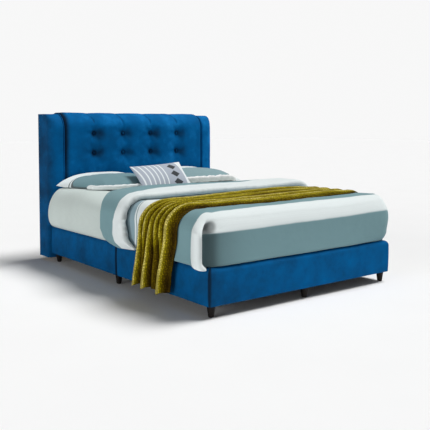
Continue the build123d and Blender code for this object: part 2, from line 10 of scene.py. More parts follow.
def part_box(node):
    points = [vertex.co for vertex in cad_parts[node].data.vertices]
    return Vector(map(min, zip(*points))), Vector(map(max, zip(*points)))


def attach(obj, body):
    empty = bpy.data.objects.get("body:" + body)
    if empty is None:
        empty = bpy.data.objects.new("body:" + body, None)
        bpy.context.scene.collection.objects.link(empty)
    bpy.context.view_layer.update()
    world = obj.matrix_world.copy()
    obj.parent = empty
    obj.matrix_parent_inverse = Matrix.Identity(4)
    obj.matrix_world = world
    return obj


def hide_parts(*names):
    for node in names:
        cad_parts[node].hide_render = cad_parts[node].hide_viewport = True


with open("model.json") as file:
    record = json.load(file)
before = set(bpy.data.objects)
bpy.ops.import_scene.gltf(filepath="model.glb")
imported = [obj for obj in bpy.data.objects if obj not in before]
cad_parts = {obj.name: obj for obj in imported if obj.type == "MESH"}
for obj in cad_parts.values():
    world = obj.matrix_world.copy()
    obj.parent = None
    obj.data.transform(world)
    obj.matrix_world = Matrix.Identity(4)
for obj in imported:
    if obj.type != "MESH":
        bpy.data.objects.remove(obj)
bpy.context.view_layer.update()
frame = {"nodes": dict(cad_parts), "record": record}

# Places of the main parts in metres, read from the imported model
foot_low, foot_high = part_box("foot_base_cover")
panel_low, panel_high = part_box("headboard_panel_cover")
wing_low, wing_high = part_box("right_wing_cover")
ticking_low, ticking_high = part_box("mattress_ticking")
BASE_HALF, BASE_SEAM, BASE_TOP = foot_high
BASE_FRONT, BASE_LOW = foot_low.y, foot_low.z
BASE_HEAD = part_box("head_base_cover")[1].y
PANEL_HALF, BLOCK_BACK, PANEL_CREST = panel_high
PANEL_FRONT, BOARD_LOW = panel_low.y, panel_low.z
WING_INNER, WING_OUTER, WING_CREST = wing_low.x, wing_high.x, wing_high.z
MATTRESS_HALF, MATTRESS_HEAD, MATTRESS_TOP = ticking_high
MATTRESS_FRONT, MATTRESS_LOW = ticking_low.y, ticking_low.z
# The rolled crest of the headboard, and the height where its front comes forward over the base
CREST_RADIUS = 0.120
OVERHANG_LOW = BASE_TOP + 0.004
# Radius of the mattress's top edge, its corners seen from above, and how far its head end rises
MATTRESS_EDGE = 0.080
CORNER_RADIUS = 0.095
HEAD_RISE = 0.032
QUARTER = math.pi / 2


# Shapes

def ripples(points, size, seed):
    """Smooth noise from -1 to 1 at each point, with features about size metres wide."""
    seed_shift = 17.3
    flat = points.reshape(-1, 3) / size + seed * seed_shift
    values = [noise.noise(Vector(p)) for p in flat.tolist()]
    return np.array(values).reshape(points.shape[:-1])


def smooth(value, low, high):
    t = np.clip((value - low) / (high - low), 0, 1)
    return t * t * (3 - 2 * t)


def bell(value, width):
    return np.exp(-(value / width) ** 2)


def lines(value, stops):
    return np.interp(value, [s[0] for s in stops], [s[1] for s in stops])


def joined(x, y, z):
    """Points from three coordinates, each a number or an array of a fitting shape."""
    return np.stack(np.broadcast_arrays(x, y, z), -1)


def travelled(line):
    """Distance along a line of points, 0 at its start."""
    return np.concatenate([[0], np.cumsum(np.linalg.norm(np.diff(line, axis=0), axis=1))])


def even(line, count):
    """The same line with its points at even distances."""
    line = np.array(line)
    far = travelled(line)
    wanted = np.linspace(0, far[-1], count)
    return np.column_stack([np.interp(wanted, far, line[:, 0]), np.interp(wanted, far, line[:, 1])])


def quads(rows, columns, wrap=False):
    last = columns if wrap else columns - 1
    return [(i * columns + j, i * columns + (j + 1) % columns,
             (i + 1) * columns + (j + 1) % columns, (i + 1) * columns + j)
            for i in range(rows - 1) for j in range(last)]


def closed(rows, columns, start=0):
    """Faces of a closed skin over rings of points, with a flat face at each end."""
    faces = quads(rows, columns, True)
    faces += [tuple(range(columns)), tuple(range((rows - 1) * columns, rows * columns))[::-1]]
    return [tuple(start + index for index in face) for face in faces]


def make(name, points, faces, body, material, values=None):
    """A smooth mesh piece that rides on body; values are float attributes by name."""
    mesh = bpy.data.meshes.new(name)
    mesh.from_pydata(np.asarray(points).reshape(-1, 3).tolist(), [], faces)
    for key, data in (values or {}).items():
        mesh.attributes.new(key, "FLOAT", "POINT").data.foreach_set("value", np.asarray(data, float).ravel())
    work = bmesh.new()
    work.from_mesh(mesh)
    bmesh.ops.recalc_face_normals(work, faces=work.faces)
    work.to_mesh(mesh)
    work.free()
    mesh.polygons.foreach_set("use_smooth", [True] * len(mesh.polygons))
    mesh.materials.append(material)
    obj = bpy.data.objects.new(name, mesh)
    bpy.context.scene.collection.objects.link(obj)
    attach(obj, body)
    return obj


def thicken(obj, thickness, offset):
    shell = obj.modifiers.new("cloth", "SOLIDIFY")
    shell.thickness = thickness
    shell.offset = offset


def arc_steps(count):
    return [QUARTER * step / count for step in range(count + 1)]


def ring(half, y0, y1, radius, across, along, turn_steps=10):
    """Points and outward normals round a rounded rectangle; the counts don't depend on its size."""
    centres = [(half - radius, y0 + radius), (half - radius, y1 - radius),
               (radius - half, y1 - radius), (radius - half, y0 + radius)]
    places = []
    normals = []
    for index, centre in enumerate(centres):
        angles = QUARTER * (index - 1) + np.array(arc_steps(turn_steps))
        turn = np.column_stack([np.cos(angles), np.sin(angles)])
        begin = centre + radius * turn[-1]
        goal = centres[(index + 1) % 4] + radius * turn[-1]
        count = (along, across)[index % 2]
        share = np.arange(1, count)[:, None] / count
        places += [centre + radius * turn, begin + (goal - begin) * share]
        normals += [turn, turn[-1] + 0 * share]
    return np.concatenate(places), np.concatenate(normals)


def side_profile(low, high, low_radius, top_radius, low_steps, wall_steps, top_steps):
    """Insets and heights up the side of a slab, with a turn at its foot and one at its top."""
    wall_low = low + low_radius
    wall_high = high - top_radius
    turn = [(low_radius * (1 - math.sin(a)), low + low_radius * (1 - math.cos(a)))
            for a in arc_steps(low_steps)]
    wall = [(0.0, wall_low + (wall_high - wall_low) * step / wall_steps) for step in range(1, wall_steps)]
    edge = [(top_radius * (1 - math.cos(a)), wall_high + top_radius * math.sin(a))
            for a in arc_steps(top_steps)]
    return turn + wall + edge


# Materials

def colour(red, green, blue):
    """Linear colour from screen values of 0 to 255."""
    return tuple(((c / 255 + 0.055) / 1.055) ** 2.4 if c > 10 else c / 255 / 12.92
                 for c in (red, green, blue)) + (1.0,)


def grey(level):
    return (level, level, level, 1)


def dim(tint, share):
    return tuple(c * share for c in tint[:3]) + (1,)


def blend_tint(first, second, share):
    return tuple(a + (b - a) * share for a, b in zip(first, second))


def add_node(tree, kind, *values, settings=None, **inputs):
    """A shader node with values or links for its inputs, in order or by name."""
    made = tree.nodes.new("ShaderNode" + kind)
    for key, value in (settings or {}).items():
        setattr(made, key, value)
    named = [(made.inputs[key.replace("_", " ")], value) for key, value in inputs.items()]
    for socket, value in [*zip(made.inputs, values), *named]:
        if isinstance(value, bpy.types.NodeSocket):
            tree.links.new(value, socket)
        else:
            socket.default_value = value
    return made


def material(name, roughness, **inputs):
    made = bpy.data.materials.new(name)
    made.use_nodes = True
    tree = made.node_tree
    tree.nodes.clear()
    shader = add_node(tree, "BsdfPrincipled", Roughness=roughness, **inputs)
    add_node(tree, "OutputMaterial", shader.outputs[0])
    return made, tree, shader


def paint(tree, shader, tint):
    tree.links.new(tint, shader.inputs["Base Color"])


def place(tree):
    return add_node(tree, "TexCoord").outputs["Object"]


def attribute(tree, key):
    return add_node(tree, "Attribute", settings={"attribute_name": key}).outputs["Fac"]


def clouds(tree, size, detail=3.0, rough=0.5, vector=None):
    return add_node(tree, "TexNoise", Vector=vector or place(tree), Scale=1 / size, Detail=detail,
                    Roughness=rough).outputs["Fac"]


def cells(tree, scale, randomness):
    made = add_node(tree, "TexVoronoi", Vector=place(tree), Scale=scale, Randomness=randomness)
    return made.outputs["Distance"]


def ramp(tree, value, stops):
    made = add_node(tree, "ValToRGB", value)
    elements = made.color_ramp.elements
    while len(elements) < len(stops):
        elements.new(0.5)
    for element, (position, tint) in zip(elements, stops):
        element.position = position
        element.color = tint
    return made.outputs[0]


def calc(tree, kind, value, *others):
    """The value taken together with each of the others in turn."""
    for other in others:
        value = add_node(tree, "Math", value, other, settings={"operation": kind}).outputs[0]
    return value


def span(tree, value, *limits):
    """The value carried over from one range to another: from low, from high, to low, to high."""
    return add_node(tree, "MapRange", value, *limits).outputs[0]


def blend_of(tree, share, first, second, kind="MIX"):
    made = tree.nodes.new("ShaderNodeMix")
    made.data_type = "RGBA"
    made.blend_type = kind
    for index, value in ((0, share), (6, first), (7, second)):
        if isinstance(value, bpy.types.NodeSocket):
            tree.links.new(value, made.inputs[index])
        else:
            made.inputs[index].default_value = value
    return made.outputs[2]


def bump(tree, shader, height, strength, depth, under=None):
    extra = {"Normal": under} if under else {}
    made = add_node(tree, "Bump", Strength=strength, Distance=depth, Height=height, **extra)
    tree.links.new(made.outputs[0], shader.inputs["Normal"])
    return made.outputs[0]


def velvet(name, deep, lit):
    """Velvet with painted light and shade by place, height and facing, and from the hollow attribute."""
    made, tree, shader = material(name, 0.8, Sheen_Weight=0.22, Sheen_Roughness=0.4,
                                  Sheen_Tint=(0.0, 0.16, 0.42, 1), Specular_IOR_Level=0.04)
    nap = clouds(tree, 0.045, 3.0, 0.6)
    x, _, z = add_node(tree, "SeparateXYZ", place(tree)).outputs
    facing = add_node(tree, "SeparateXYZ", add_node(tree, "NewGeometry").outputs["Normal"]).outputs[0]
    patches = calc(tree, "ADD", calc(tree, "MULTIPLY", clouds(tree, 0.16, 4.0, 0.6), 0.75),
                   calc(tree, "MULTIPLY", nap, 0.25))
    # Painted light and shade: lighter towards +X, darker at the left end and lighter higher up
    painted_light_across = span(tree, x, -0.70, -0.05, 0.47, 0.62)
    rim = span(tree, x, -0.79, -0.72, -0.25, 0.0)
    high = span(tree, z, 0.30, 0.55, -0.04, 0.18)
    # Painted light and shade on faces turned to -X: lighter low down, darker high up
    turned = span(tree, facing, -1.0, -0.2, 1.0, 0.0)
    depth = span(tree, z, 0.30, 0.55, 0.17, -0.20)
    shade = calc(tree, "ADD", patches, painted_light_across, rim, high, -0.50, calc(tree, "MULTIPLY", turned, depth))
    # The hollow attribute darkens it with painted shade at buttons, pleats, corners and the panel's ends
    shade = calc(tree, "SUBTRACT", shade, attribute(tree, "hollow"))
    paint(tree, shader, ramp(tree, shade, [(0.0, deep), (0.35, blend_tint(deep, lit, 0.45)), (0.75, lit),
                                           (1.0, blend_tint(lit, colour(24, 132, 204), 0.8))]))
    soft = bump(tree, shader, nap, 0.10, 0.004)
    bump(tree, shader, clouds(tree, 0.0022, 2.0, 0.7), 0.35, 0.0008, soft)
    return made


def cloth(name, tint, pitch=0.0022, roughness=0.85, strength=0.3):
    """Woven cotton: tint is a colour, or a function that makes one in the tree."""
    made, tree, shader = material(name, roughness, Sheen_Weight=0.08, Sheen_Roughness=0.5,
                                  Specular_IOR_Level=0.2)
    base = tint(tree) if callable(tint) else ramp(tree, clouds(tree, 0.2),
                                                  [(0.3, dim(tint, 0.94)), (0.7, tint)])
    # Threads run along all three axes, so that any side of a piece shows them
    coord = place(tree)
    waves = [add_node(tree, "TexWave", settings={"bands_direction": axis}, Vector=coord, Scale=0.16 / pitch,
                      Distortion=0.6, Detail=1.0).outputs["Fac"] for axis in "XYZ"]
    threads = calc(tree, "MAXIMUM", *waves)
    shade = ramp(tree, threads, [(0.0, grey(0.90)), (0.6, grey(1))])
    # A float attribute blends the cloth towards dark grey: painted shade in creases, folds and under edges
    base = blend_of(tree, attribute(tree, "painted_shade"), base, colour(40, 48, 50))
    paint(tree, shader, blend_of(tree, 1.0, base, shade, "MULTIPLY"))
    soft = bump(tree, shader, clouds(tree, 0.03, 3.0, 0.55), 0.18, 0.004)
    bump(tree, shader, threads, strength, 0.0005, soft)
    return made


def bands_of(key, stops):
    """Colour bands along a float attribute of the mesh."""
    return lambda tree: ramp(tree, attribute(tree, key), stops)


def grained(name, dark, light, stretch, roughness):
    made, tree, shader = material(name, roughness, Specular_IOR_Level=0.2)
    mapping = add_node(tree, "Mapping", Vector=place(tree), Scale=stretch).outputs[0]
    pores = clouds(tree, 0.02 / 6, 4.0, 0.7, mapping)
    paint(tree, shader, ramp(tree, clouds(tree, 0.02, 6.0, 0.6, mapping), [(0.35, dark), (0.65, light)]))
    bump(tree, shader, pores, 0.25, 0.0006)
    rough = ramp(tree, pores, [(0.3, grey(roughness * 0.8)), (0.7, grey(min(1, roughness * 1.2)))])
    tree.links.new(rough, shader.inputs["Roughness"])
    return made


def metal(name, tint, roughness):
    made, tree, shader = material(name, roughness, Metallic=1.0)
    mapping = add_node(tree, "Mapping", Vector=place(tree), Scale=(1, 1, 12)).outputs[0]
    brushed = clouds(tree, 0.004, 4.0, 0.7, mapping)
    paint(tree, shader, ramp(tree, clouds(tree, 0.02, 5.0, 0.7), [(0.3, dim(tint, 0.75)), (0.7, tint)]))
    rough = ramp(tree, brushed, [(0.2, grey(roughness * 0.7)), (0.8, grey(roughness * 1.4))])
    tree.links.new(rough, shader.inputs["Roughness"])
    bump(tree, shader, brushed, 0.12, 0.0003)
    return made


def foam(name, tint):
    made, tree, shader = material(name, 0.95)
    pores = cells(tree, 260.0, 1.0)
    paint(tree, shader, ramp(tree, pores, [(0.1, dim(tint, 0.55)), (0.6, tint)]))
    bump(tree, shader, pores, 0.6, 0.002)
    return made


def plastic(name, dark, light):
    made, tree, shader = material(name, 0.5)
    paint(tree, shader, ramp(tree, clouds(tree, 0.004), [(0.3, dark), (0.7, light)]))
    bump(tree, shader, clouds(tree, 0.0009), 0.3, 0.0003)
    return made


def pockets(tree):
    """Rows of round spring pockets seen through white cloth."""
    return ramp(tree, cells(tree, 16.0, 0.0), [(0.30, colour(226, 226, 220)), (0.55, colour(168, 168, 162))])


WHITE = colour(226, 234, 234)
TEAL = colour(118, 152, 158)
BLUE_GREY = colour(140, 166, 176)
PIPING_GREY = colour(96, 124, 132)
BLUE_VELVET = velvet("blue_velvet", colour(14, 38, 60), colour(2, 98, 160))
TRIM_VELVET = velvet("velvet_trim", colour(4, 30, 56), colour(4, 86, 146))
# A darker copy of the blue velvet for the buttons: painted shade, as they sit deep in the tufting
SHADED_BUTTON_VELVET = velvet("shaded_button_velvet", colour(2, 14, 28), colour(2, 44, 80))
SHEET_WHITE = cloth("fitted_sheet_cotton", colour(202, 213, 209), 0.002)
# The frame has materials of these names already, so Blender adds a number
BY_SLOT = {finish.name.split(".")[0]: finish for finish in (
    BLUE_VELVET, TRIM_VELVET, SHEET_WHITE,
    grained("dark_stained_wood", colour(10, 7, 6), colour(26, 19, 16), (18, 18, 2), 0.6),
    grained("sawn_pine", colour(176, 134, 84), colour(222, 186, 132), (3, 30, 30), 0.75),
    grained("plywood", colour(160, 120, 78), colour(208, 170, 120), (2, 14, 60), 0.7),
    metal("zinc_steel", colour(196, 200, 204), 0.32),
    foam("upholstery_foam", colour(226, 214, 168)),
    plastic("black_plastic", colour(14, 14, 15), colour(28, 28, 30)),
    cloth("black_backing_cloth", colour(26, 26, 28), 0.0016, 0.95, 0.5),
    cloth("twine", colour(196, 184, 150), 0.0008),
    cloth("ticking", colour(228, 228, 222), 0.0018),
    cloth("pocket_springs", pockets, 0.003))}
for part in frame["record"]["subparts"]:
    finish = BY_SLOT.get(part["material_slot"])
    shown = frame["nodes"][part["node"]]
    if finish:
        shown.data.materials.clear()
        shown.data.materials.append(finish)


# Divan base

def base_cover(name, y0, y1, seam_at_low_end, nodes):
    """Velvet cover of one half of the base, flat where it meets the other half."""
    corner = 0.020
    profile = [(0.030, BASE_LOW + 0.0035), (0.014, BASE_LOW + 0.001)]
    profile += side_profile(BASE_LOW, BASE_TOP, low_radius=0.006, top_radius=0.030,
                            low_steps=5, wall_steps=18, top_steps=10)
    profile += [(0.05, BASE_TOP), (0.10, BASE_TOP)]
    rows = []
    painted_corner_shade = []
    for inset, z in profile:
        seam_inset = min(inset, 0.003)
        low_inset, high_inset = (seam_inset, 0.0) if seam_at_low_end else (inset, seam_inset)
        places, normals = ring(BASE_HALF - inset, y0 + low_inset, y1 - high_inset,
                               max(corner - inset * 0.4, 0.006), across=110, along=76)
        belly = 0.003 * math.sin(math.pi * min(max((z - BASE_LOW) / (BASE_TOP - BASE_LOW), 0), 1))
        outer = ~((normals[:, 1] > 0.9) | (seam_at_low_end & (normals[:, 1] < -0.9)))
        flat = joined(places[:, 0], places[:, 1], z)
        waves = 0.0016 * ripples(flat, 0.16, 1) + 0.0009 * ripples(flat * (1, 1, 0.3), 0.045, 2)
        # A narrow seam groove runs down the middle of each turned corner; the turned corner and the groove
        # also get painted shade
        turned = np.abs(normals[:, 0] * normals[:, 1])
        groove = smooth(turned, 0.40, 0.5)
        painted_corner_shade.append(0.34 * smooth(turned, 0.16, 0.5) + 0.22 * groove)
        places = places + normals * ((belly + waves) * outer - 0.0034 * groove)[:, None]
        rows.append(joined(places[:, 0], places[:, 1], z))
    # The painted shade goes to the velvet's hollow attribute
    obj = make(name, rows, closed(len(rows), len(rows[0])), "bed", BLUE_VELVET,
               {"hollow": painted_corner_shade})
    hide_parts(*nodes)


base_cover("foot_base_velvet", BASE_FRONT, BASE_SEAM - 0.001, False, ["foot_base_cover", "foot_base_padding"])
base_cover("head_base_velvet", BASE_SEAM + 0.001, BASE_HEAD, True, ["head_base_cover", "head_base_padding"])


# Headboard

BUTTON_PITCH = 0.267
BUTTON_XS = [BUTTON_PITCH * (index - 1.5) for index in range(4)]
BUTTON_ZS = [PANEL_CREST - 0.164, PANEL_CREST - 0.320]
ARC_START = PANEL_CREST - CREST_RADIUS
WING_STEP = 0.008


def crest_path(top, step):
    """Front line from the ground gap up and over the crest: y, z, normal and height along the cloth."""
    low_y = BASE_HEAD + 0.0005
    bend = low_y - PANEL_FRONT
    arc_z = top - CREST_RADIUS
    arc = CREST_RADIUS * QUARTER
    rows = []

    def run(first, last, normal, height):
        count = max(2, round(math.dist(first, last) / step))
        for index in range(count):
            at = [a + (b - a) * index / count for a, b in zip(first, last)]
            rows.append((*at, *normal, height + math.dist(first, at)))

    def turn(y, z, radius, start, count, height, rise):
        for index in range(count):
            angle = start - QUARTER * index / count
            rows.append((y + radius * math.cos(angle), z + radius * math.sin(angle),
                         math.cos(angle), math.sin(angle), height + rise * index / count))

    run((low_y, BOARD_LOW + 0.004), (low_y, OVERHANG_LOW), (-1, 0), BOARD_LOW)
    turn(low_y, OVERHANG_LOW + bend, bend, 3 * QUARTER, 8, OVERHANG_LOW, bend)
    run((PANEL_FRONT, OVERHANG_LOW + bend), (PANEL_FRONT, arc_z), (-1, 0), OVERHANG_LOW + bend)
    turn(PANEL_FRONT + CREST_RADIUS, arc_z, CREST_RADIUS, math.pi, round(arc / step), arc_z, arc)
    run((PANEL_FRONT + CREST_RADIUS, top), (BLOCK_BACK, top), (0, 1), arc_z + arc)
    rows.append((BLOCK_BACK, top, 0, 1, arc_z + arc + BLOCK_BACK - PANEL_FRONT - CREST_RADIUS))
    return np.array(rows)


def crest_pleat(side, height, width):
    """A pleat above a button: it leans to the left on its way up and ends before the crest."""
    above = height - ARC_START
    lean = side + 0.034 * smooth(above, 0.05, 0.16)
    return bell(lean, width) * smooth(above, 0.03, 0.06) * smooth(0.185 - above, 0.0, 0.03)


def by_buttons(height):
    return smooth(height, BUTTON_ZS[1] - 0.06, BUTTON_ZS[1] + 0.02)


def tufting(x, height):
    """How deep the cover is pulled in at x, height along the cloth."""
    depth = np.zeros_like(x)
    for bx in BUTTON_XS:
        side = x - bx
        drop = smooth(height, MATTRESS_TOP + 0.045, MATTRESS_TOP + 0.245) * (0.5 + 0.5 * by_buttons(height))
        lean = side + 0.006 * np.sin(height * 21 + bx * 9)
        depth += (0.0050 * bell(lean, 0.045) + 0.0020 * bell(lean, 0.014)) * drop
        depth += 0.0050 * crest_pleat(side, height, 0.0065)
        for bz in BUTTON_ZS:
            rise = height - bz
            far = np.hypot(side, rise)
            turn = np.arctan2(rise, side)
            pucker = 1 + 0.16 * np.cos(6 * turn + bx * 7 + bz * 3) * smooth(far, 0.008, 0.03)
            depth += 0.0110 * bell(far, 0.023) + 0.0150 * bell(far / pucker, 0.064)
    return depth


def tuft_shade(x, height):
    """Painted shade on the panel at and beside the buttons, along the pleats and at the panel's ends, with a
    little painted light just inside its left end.
    """
    shade = np.zeros_like(x)
    for bx in BUTTON_XS:
        for bz in BUTTON_ZS:
            near = np.hypot(x - bx, height - bz)
            beside = np.hypot((x - bx - 0.040) / 1.3, height - bz + 0.004)
            shade = np.maximum(shade, np.maximum(0.85 * bell(near, 0.027), 0.42 * bell(beside, 0.042)))
    rim = PANEL_HALF - np.abs(x)
    left_rim = 0.62 * bell(np.maximum(rim - 0.014, 0), 0.026) - 0.08 * bell(rim - 0.06, 0.022)
    shade += np.where(x < 0, left_rim, 0.22 * bell(rim, 0.05))
    for bx in BUTTON_XS:
        column = by_buttons(height) * smooth(ARC_START + 0.04 - height, 0.0, 0.06)
        shade += 0.14 * bell(x - bx - 0.050, 0.034) * column + 0.30 * crest_pleat(x - bx, height, 0.006)
    return shade


def panel_cover():
    step = 0.0055
    edge = 0.030
    inner = PANEL_HALF - edge
    count = round(2 * inner / step)
    left = [(-PANEL_HALF, depth) for depth in (0.085, 0.06, 0.04)]
    left += [(-PANEL_HALF + edge * (1 - math.cos(a)), edge * (1 - math.sin(a))) for a in arc_steps(8)]
    flat = [(-inner + 2 * inner * index / count, 0.0) for index in range(1, count)]
    section = np.array(left + flat + [(-x, depth) for x, depth in left[10::-1]])
    path = crest_path(PANEL_CREST, step)
    x, height = np.meshgrid(section[:, 0], path[:, 4])
    front = smooth(PANEL_HALF - np.abs(x), 0.0, 0.05)
    points = joined(x, path[:, 0, None], path[:, 1, None])
    crown = (0.004 * smooth(height, 0.62, 0.75) + 0.0016 * ripples(points, 0.12, 3)
             + 0.0007 * ripples(points, 0.035, 4))
    depth = section[:, 1] + (tufting(x, height) - crown) * front
    points[..., 1] = np.minimum(points[..., 1] - path[:, 2, None] * depth, BLOCK_BACK)
    points[..., 2] -= path[:, 3, None] * depth
    # The panel's painted shade goes to the velvet's hollow attribute
    obj = make("headboard_panel_velvet", points, quads(*x.shape), "bed", BLUE_VELVET,
               {"hollow": tuft_shade(x, height)})
    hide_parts("headboard_panel_cover", "headboard_panel_foam")
    faces_out = sum(-face.normal.y * face.area for face in obj.data.polygons) > 0
    thicken(obj, 0.002, -1 if faces_out else 1)


def wing_cover(name, side, nodes):
    """Wing from its outer side round the rolled front edge to its inner side, in rows up the front."""
    path = crest_path(WING_CREST, WING_STEP)
    piping = 0.007
    width = WING_OUTER - WING_INNER
    flat_end = width - piping
    arc_start = WING_CREST - CREST_RADIUS
    spine_rise = CREST_RADIUS - 0.012
    rows = []
    for y, z, ny, nz, height in path:
        upright = 1 - smooth(height, arc_start + 0.02, arc_start + 0.16)
        reach = 0.006 + (0.028 + 0.014 * smooth(height, 0.36, 0.5)) * upright
        over = max(0.0, height - arc_start) / (path[-1, 4] - arc_start)
        spine = np.array([BLOCK_BACK, max(BOARD_LOW + 0.004, min(z, arc_start)) + spine_rise * over])
        curve = 0.008 + 0.070 * upright
        # Insets from the outer side, and depths behind the front line
        turns = [(curve * (1 - math.cos(a)), reach * (1 - math.sin(a))) for a in arc_steps(14)]
        turns += [(curve + (flat_end - curve) * t, 0.0) for t in (0.35, 0.7, 1.0)]
        turns += [(flat_end + piping * math.sin(a), piping * (1 - math.cos(a))) for a in arc_steps(4)[1:]]
        edge = np.array([y - ny * reach, z - nz * reach])
        inner_edge = np.array([y - ny * piping, z - nz * piping])
        line = [(WING_OUTER, *(spine + (edge - spine) * t)) for t in np.linspace(0, 1, 10)[:-1]]
        line += [(WING_OUTER - inset, y - ny * depth, z - nz * depth) for inset, depth in turns]
        line += [(WING_INNER, *(inner_edge + (spine - inner_edge) * t)) for t in np.linspace(0, 1, 8)[1:]]
        rows.append(line)
    points = np.array(rows) * (side, 1, 1)
    waves = 0.0018 * ripples(points * (1, 1, 0.5), 0.10, 5 + side) + 0.0008 * ripples(points, 0.03, 8 + side)
    out = np.abs(points[..., 0])
    points[..., 0] = side * np.minimum(out + waves * smooth(out, WING_INNER + 0.01, WING_INNER + 0.04),
                                       WING_OUTER + 0.001)
    obj = make(name, points, quads(*points.shape[:2]), "bed", BLUE_VELVET)
    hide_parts(*nodes)


def wing_cord(name, node):
    """Twisted piping cord up the wing's front and over its crest."""
    radius = 0.0042
    sides = 10
    low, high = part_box(node)
    line = np.array([((low.x + high.x) / 2, y - ny * 0.0015, z - nz * 0.0015)
                     for y, z, ny, nz, height in crest_path(WING_CREST, WING_STEP)
                     if height > OVERHANG_LOW + 0.02])
    along = np.gradient(line, axis=0)
    along /= np.linalg.norm(along, axis=1)[:, None]
    first = np.cross(along, (0.35, 0.2, 0.9))
    first /= np.linalg.norm(first, axis=1)[:, None]
    second = np.cross(along, first)
    angles = 2 * math.pi * np.arange(sides) / sides
    swell = radius * (1 + 0.05 * np.cos(angles * 2 + travelled(line)[:, None] * 400))[..., None]
    round_it = np.cos(angles)[:, None] * first[:, None] + np.sin(angles)[:, None] * second[:, None]
    points = line[:, None] + swell * round_it
    obj = make(name, points, closed(len(line), sides), "bed", TRIM_VELVET)
    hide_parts(node)


def buttons():
    """Covered buttons: a dome with cloth gathered round its rim."""
    seat = PANEL_FRONT + 0.0225
    levels = 9
    spokes = 32
    share = np.linspace(0, 1, levels)[:, None]
    turn = 2 * math.pi * np.arange(spokes) / spokes
    radius = 0.013 * np.sin(share * math.pi * 0.56) * (1 + 0.035 * np.cos(turn * 10) * share ** 3) + 0.0004
    rise = 0.0075 * np.cos(share * math.pi * 0.56)
    points = [joined(bx + radius * np.cos(turn), seat - rise, bz + radius * np.sin(turn))
              for bx in BUTTON_XS for bz in BUTTON_ZS]
    faces = [face for index in range(len(points)) for face in closed(levels, spokes, index * levels * spokes)]
    obj = make("covered_buttons", points, faces, "bed", SHADED_BUTTON_VELVET)
    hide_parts("tuft_buttons")


panel_cover()
wing_cover("left_wing_velvet", -1, ["left_wing_cover", "left_wing_foam"])
wing_cover("right_wing_velvet", 1, ["right_wing_cover", "right_wing_foam"])
wing_cord("left_wing_cord", "left_wing_piping")
wing_cord("right_wing_cord", "right_wing_piping")
buttons()


# Mattress

def head_rise(y):
    """How much higher the mattress stands towards its head end."""
    return HEAD_RISE * smooth(y, 0.07, 0.48)


def pillow_rest(y):
    """Height that the pillows stay above."""
    return MATTRESS_TOP + head_rise(y) + 0.0055


def fitted_sheet():
    growth = 0.0015
    low = MATTRESS_LOW + 0.001
    high = MATTRESS_TOP + growth
    half = MATTRESS_HALF + growth
    edge = MATTRESS_EDGE + growth
    middle = half - 0.012
    count = round((middle - edge) / 0.022)
    profile = [(0.05, low)] + side_profile(low, high, low_radius=0.030, top_radius=edge,
                                           low_steps=6, wall_steps=12, top_steps=9)
    profile += [(edge + (middle - edge) * step / count, high) for step in range(1, count + 1)]
    rows = []
    for inset, z in profile:
        on_side = inset < 0.06
        places, normals = ring(half - inset, MATTRESS_FRONT - growth + inset, MATTRESS_HEAD + growth - inset,
                               max(CORNER_RADIUS - inset, 0.010), across=90, along=116)
        share = min(max((z - low) / (MATTRESS_TOP - low), 0), 1)
        lift = math.sin(math.pi * share ** 0.75) ** 0.6 if on_side else 0.0
        x, y = places.T
        belly = 0.036 * (1 + 0.75 * smooth(y, 0.0, 0.80)) * lift * normals[:, 0] ** 2 * smooth(y, -0.06, 0.10)
        flat = joined(x, y, z)
        waves = 0.0022 * (ripples(flat, 0.22, 11) + 0.45 * ripples(flat, 0.07, 12))
        # The head end rises left and right of the middle only
        rise = head_rise(y) * smooth(np.abs(x), 0.42, 0.60) * smooth(z, MATTRESS_TOP - 0.075, MATTRESS_TOP)
        height = z + (0.35 if on_side else 1.0) * waves * (z > low + 0.02) + rise
        places = places + normals * (belly + 0.4 * waves)[:, None]
        rows.append(joined(places[:, 0], places[:, 1], height))
    obj = make("fitted_sheet_cloth", rows, closed(len(rows), len(rows[0])), "mattress", SHEET_WHITE)
    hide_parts("fitted_sheet", "mattress_ticking")


fitted_sheet()


# Lines across the bed

def across(low, step):
    """Line over the mattress from the left hem to the right one: x, z, normal x, normal z and the
    signed length from the middle."""
    half = MATTRESS_HALF - MATTRESS_EDGE
    bend_z = MATTRESS_TOP - MATTRESS_EDGE
    side = [(half + MATTRESS_EDGE, low + (bend_z - low) * t, 1.0, 0.0)
            for t in np.linspace(0, 1, max(3, round((bend_z - low) / step)))]
    bend = [(half + MATTRESS_EDGE * math.cos(a), bend_z + MATTRESS_EDGE * math.sin(a),
             math.cos(a), math.sin(a))
            for a in np.linspace(0, QUARTER, max(4, round(MATTRESS_EDGE * QUARTER / step)))[1:]]
    top = [(half * (1 - t), MATTRESS_TOP, 0.0, 1.0) for t in np.linspace(0, 1, round(half / step))[1:]]
    right = np.array(side + bend + top)
    rows = np.concatenate([right[:-1] * (-1, 1, -1, 1), right[::-1]])
    lengths = travelled(rows[:, :2])
    return np.column_stack([rows, lengths - lengths[-1] / 2])


# Duvet

DUVET_THICK = 0.026
DUVET_GAP = 0.0025
DUVET_LOW = BASE_TOP + 0.004
DUVET_HEAD = -0.12
HEM_TOP = DUVET_LOW + 0.012
# Heights at the foot corner: the white edge's lip, the arch over the roll, and the start of the roll's
# round end
LIP_Z = MATTRESS_TOP - 0.081
ARCH_Z = MATTRESS_TOP - 0.059
ROLL_END_Z = DUVET_LOW + 0.041
WHITE_START = -0.9925
SIDE_STEPS = 84
FOOT_STEPS = 120
CORNER_STEPS = 60
